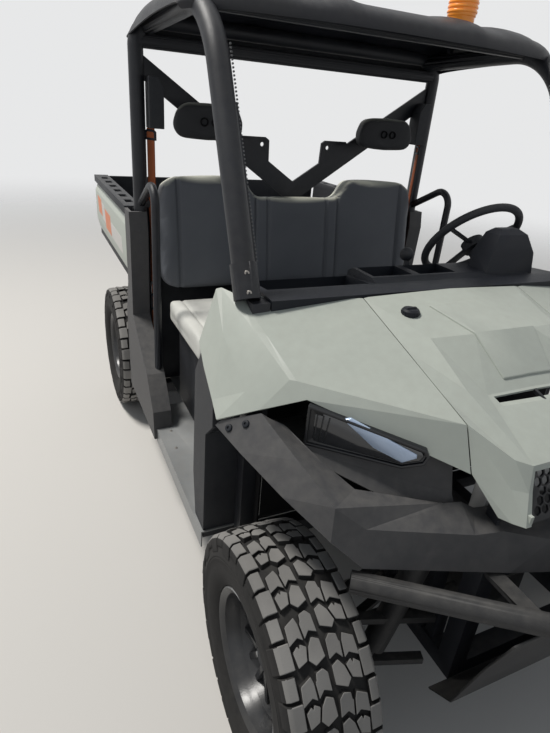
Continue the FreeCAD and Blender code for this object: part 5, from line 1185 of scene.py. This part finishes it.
fasten("flare_screws", "front_fascia", [(229, 428), (246, 424)], 0.011, 0.005, "dash_plastic")
fasten("sill_screws", "rocker_panels", [(171, 431), (176, 448)], 0.007, 0.003, "bare_steel")

# %% [markdown]
# The latch of the hood is a quarter-turn knob. Its rim is ribbed for the fingers, and a bar across its top
# is turned with the hand. It is a spun cap with a row of small ribs and the bar on it.

# %% Hood latch
latch_low, latch_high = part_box("hood_latches")
LATCH = Vector([(a + b) / 2 for a, b in zip(latch_low, latch_high)])
foot_height = latch_low[2] - LATCH.z
top_height = latch_high[2] - LATCH.z
cap = turned("latch_cap", [(foot_height, 0.0004), (foot_height, 0.024), (foot_height + 0.004, 0.026),
                           (top_height - 0.008, 0.025), (top_height - 0.003, 0.021), (top_height - 0.003, 0.0004)],
             LATCH, "Z", 40)
grip = block("latch_grip", [(LATCH.x - 0.019, LATCH.y - 0.005, LATCH.z + top_height - 0.005),
                            (LATCH.x + 0.019, LATCH.y - 0.005, LATCH.z + top_height - 0.005),
                            (LATCH.x + 0.019, LATCH.y + 0.005, LATCH.z + top_height - 0.005),
                            (LATCH.x - 0.019, LATCH.y + 0.005, LATCH.z + top_height - 0.005)],
             (0, 0, 0.006), 0.86, 0.0012, 2)
rib = block("latch_rib", [(LATCH.x + 0.0245, LATCH.y - 0.0014, LATCH.z + foot_height + 0.002),
                          (LATCH.x + 0.0265, LATCH.y - 0.0010, LATCH.z + foot_height + 0.002),
                          (LATCH.x + 0.0265, LATCH.y + 0.0010, LATCH.z + foot_height + 0.002),
                          (LATCH.x + 0.0245, LATCH.y + 0.0014, LATCH.z + foot_height + 0.002)],
            (0, 0, top_height - foot_height - 0.012), 0.9)
ribs = [rib] + [copied(rib, turn_about(LATCH, "Z", 20 * step)) for step in range(1, 18)]
latch = merged("hood_latch", [cap, grip] + ribs)
smooth(latch, 30)
dress(latch, "dash_plastic", BODY_OF["hood_latches"])
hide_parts("hood_latches")
print("latch done")

# %% [markdown]
# The roof is one moulded sheet, rounded down at its edges, with long raised ribs that stiffen it. It is
# made as a coarse net: a grid whose points are moved to the roof's rows, from the front edge to the back.
# Two levels of subdivision round it off, and it gets its wall last. Columns of points stand close together
# at the sides of each rib, so that the ribs stay crisp.

# %% Roof
# Rows of the roof's right half, from the middle to the rim: across, along the vehicle, height, in millimetres.
ROOF_ROWS = [
    [(0, -336, 1846), (330, -328, 1845), (600, -292, 1842), (684, -243, 1840), (702, -212, 1834)],
    [(0, -341, 1868), (330, -333, 1866), (602, -297, 1860), (688, -247, 1856), (708, -214, 1846)],
    [(0, -322, 1900), (330, -312, 1898), (604, -280, 1890), (694, -236, 1876), (714, -212, 1854)],
    [(0, -196, 1931), (330, -191, 1930), (620, -171, 1926), (708, -156, 1899), (722, -146, 1850)],
    [(0, 24, 1942), (330, 24, 1940), (630, 24, 1930), (714, 24, 1902), (725, 24, 1850)],
    [(0, 284, 1940), (330, 284, 1938), (630, 284, 1928), (714, 284, 1900), (725, 284, 1836)],
    [(0, 424, 1920), (330, 424, 1919), (622, 416, 1910), (712, 404, 1880), (725, 404, 1826)],
    [(0, 492, 1868), (330, 492, 1867), (612, 484, 1858), (716, 464, 1842), (733, 457, 1818)],
    [(0, 503, 1822), (330, 503, 1821), (606, 493, 1818), (712, 473, 1814), (730, 467, 1811)],
]
RIB_HEIGHTS = [0, 0, 9, 11, 11, 11, 9, 0, 0]
RIB_COLUMNS = [0, 178, 190, 280, 292, 408, 422, 545, 560]
RAISED_COLUMNS = (190, 280, 422, 545)


def net(name, rows):
    """Grid whose points are moved to the rows. It ends in object mode."""
    deselect()
    bpy.ops.mesh.primitive_grid_add(x_subdivisions=len(rows[0]) - 1, y_subdivisions=len(rows) - 1, size=0.01)
    piece = bpy.context.object
    piece.name = name
    bpy.ops.object.mode_set(mode="EDIT")
    places = [place for row in rows for place in row]
    for index, place in enumerate(places):
        grid = bmesh.from_edit_mesh(piece.data)
        grid.verts.ensure_lookup_table()
        for vertex in grid.verts:
            vertex.select_set(False)
        grid.verts[index].select_set(True)
        bmesh.update_edit_mesh(piece.data)
        bpy.ops.transform.translate(value=Vector(place) - grid.verts[index].co)
    bpy.ops.object.mode_set(mode="OBJECT")
    return piece


def roof_row(points, rib):
    """Full row of the roof in metres, with its ribs."""
    half = []
    for across in RIB_COLUMNS:
        for (x0, y0, z0), (x1, y1, z1) in zip(points, points[1:]):
            if x0 <= across <= x1:
                share = (across - x0) / (x1 - x0)
                lift = rib if across in RAISED_COLUMNS else 0
                half.append((across, y0 + (y1 - y0) * share, z0 + (z1 - z0) * share + lift))
                break
    half += points[2:]
    metres = [(x / 1000, y / 1000, z / 1000) for x, y, z in half]
    return [(-x, y, z) for x, y, z in reversed(metres[1:])] + metres


roof = net("roof_sheet", [roof_row(points, rib) for points, rib in zip(ROOF_ROWS, RIB_HEIGHTS)])
deselect()
roof.select_set(True)
bpy.context.view_layer.objects.active = roof
rounding = roof.modifiers.new("rounding", "SUBSURF")
rounding.levels = 2
rounding.render_levels = 2
bpy.ops.object.modifier_apply(modifier="rounding")
wall = roof.modifiers.new("wall", "SOLIDIFY")
wall.thickness = 0.005
wall.offset = -1
bpy.ops.object.modifier_apply(modifier="wall")
smooth(roof, 40)
dress(roof, "roof_plastic", BODY_OF["roof"])
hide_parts("roof")
print("roof triangles", sum(len(p.vertices) - 2 for p in roof.data.polygons))
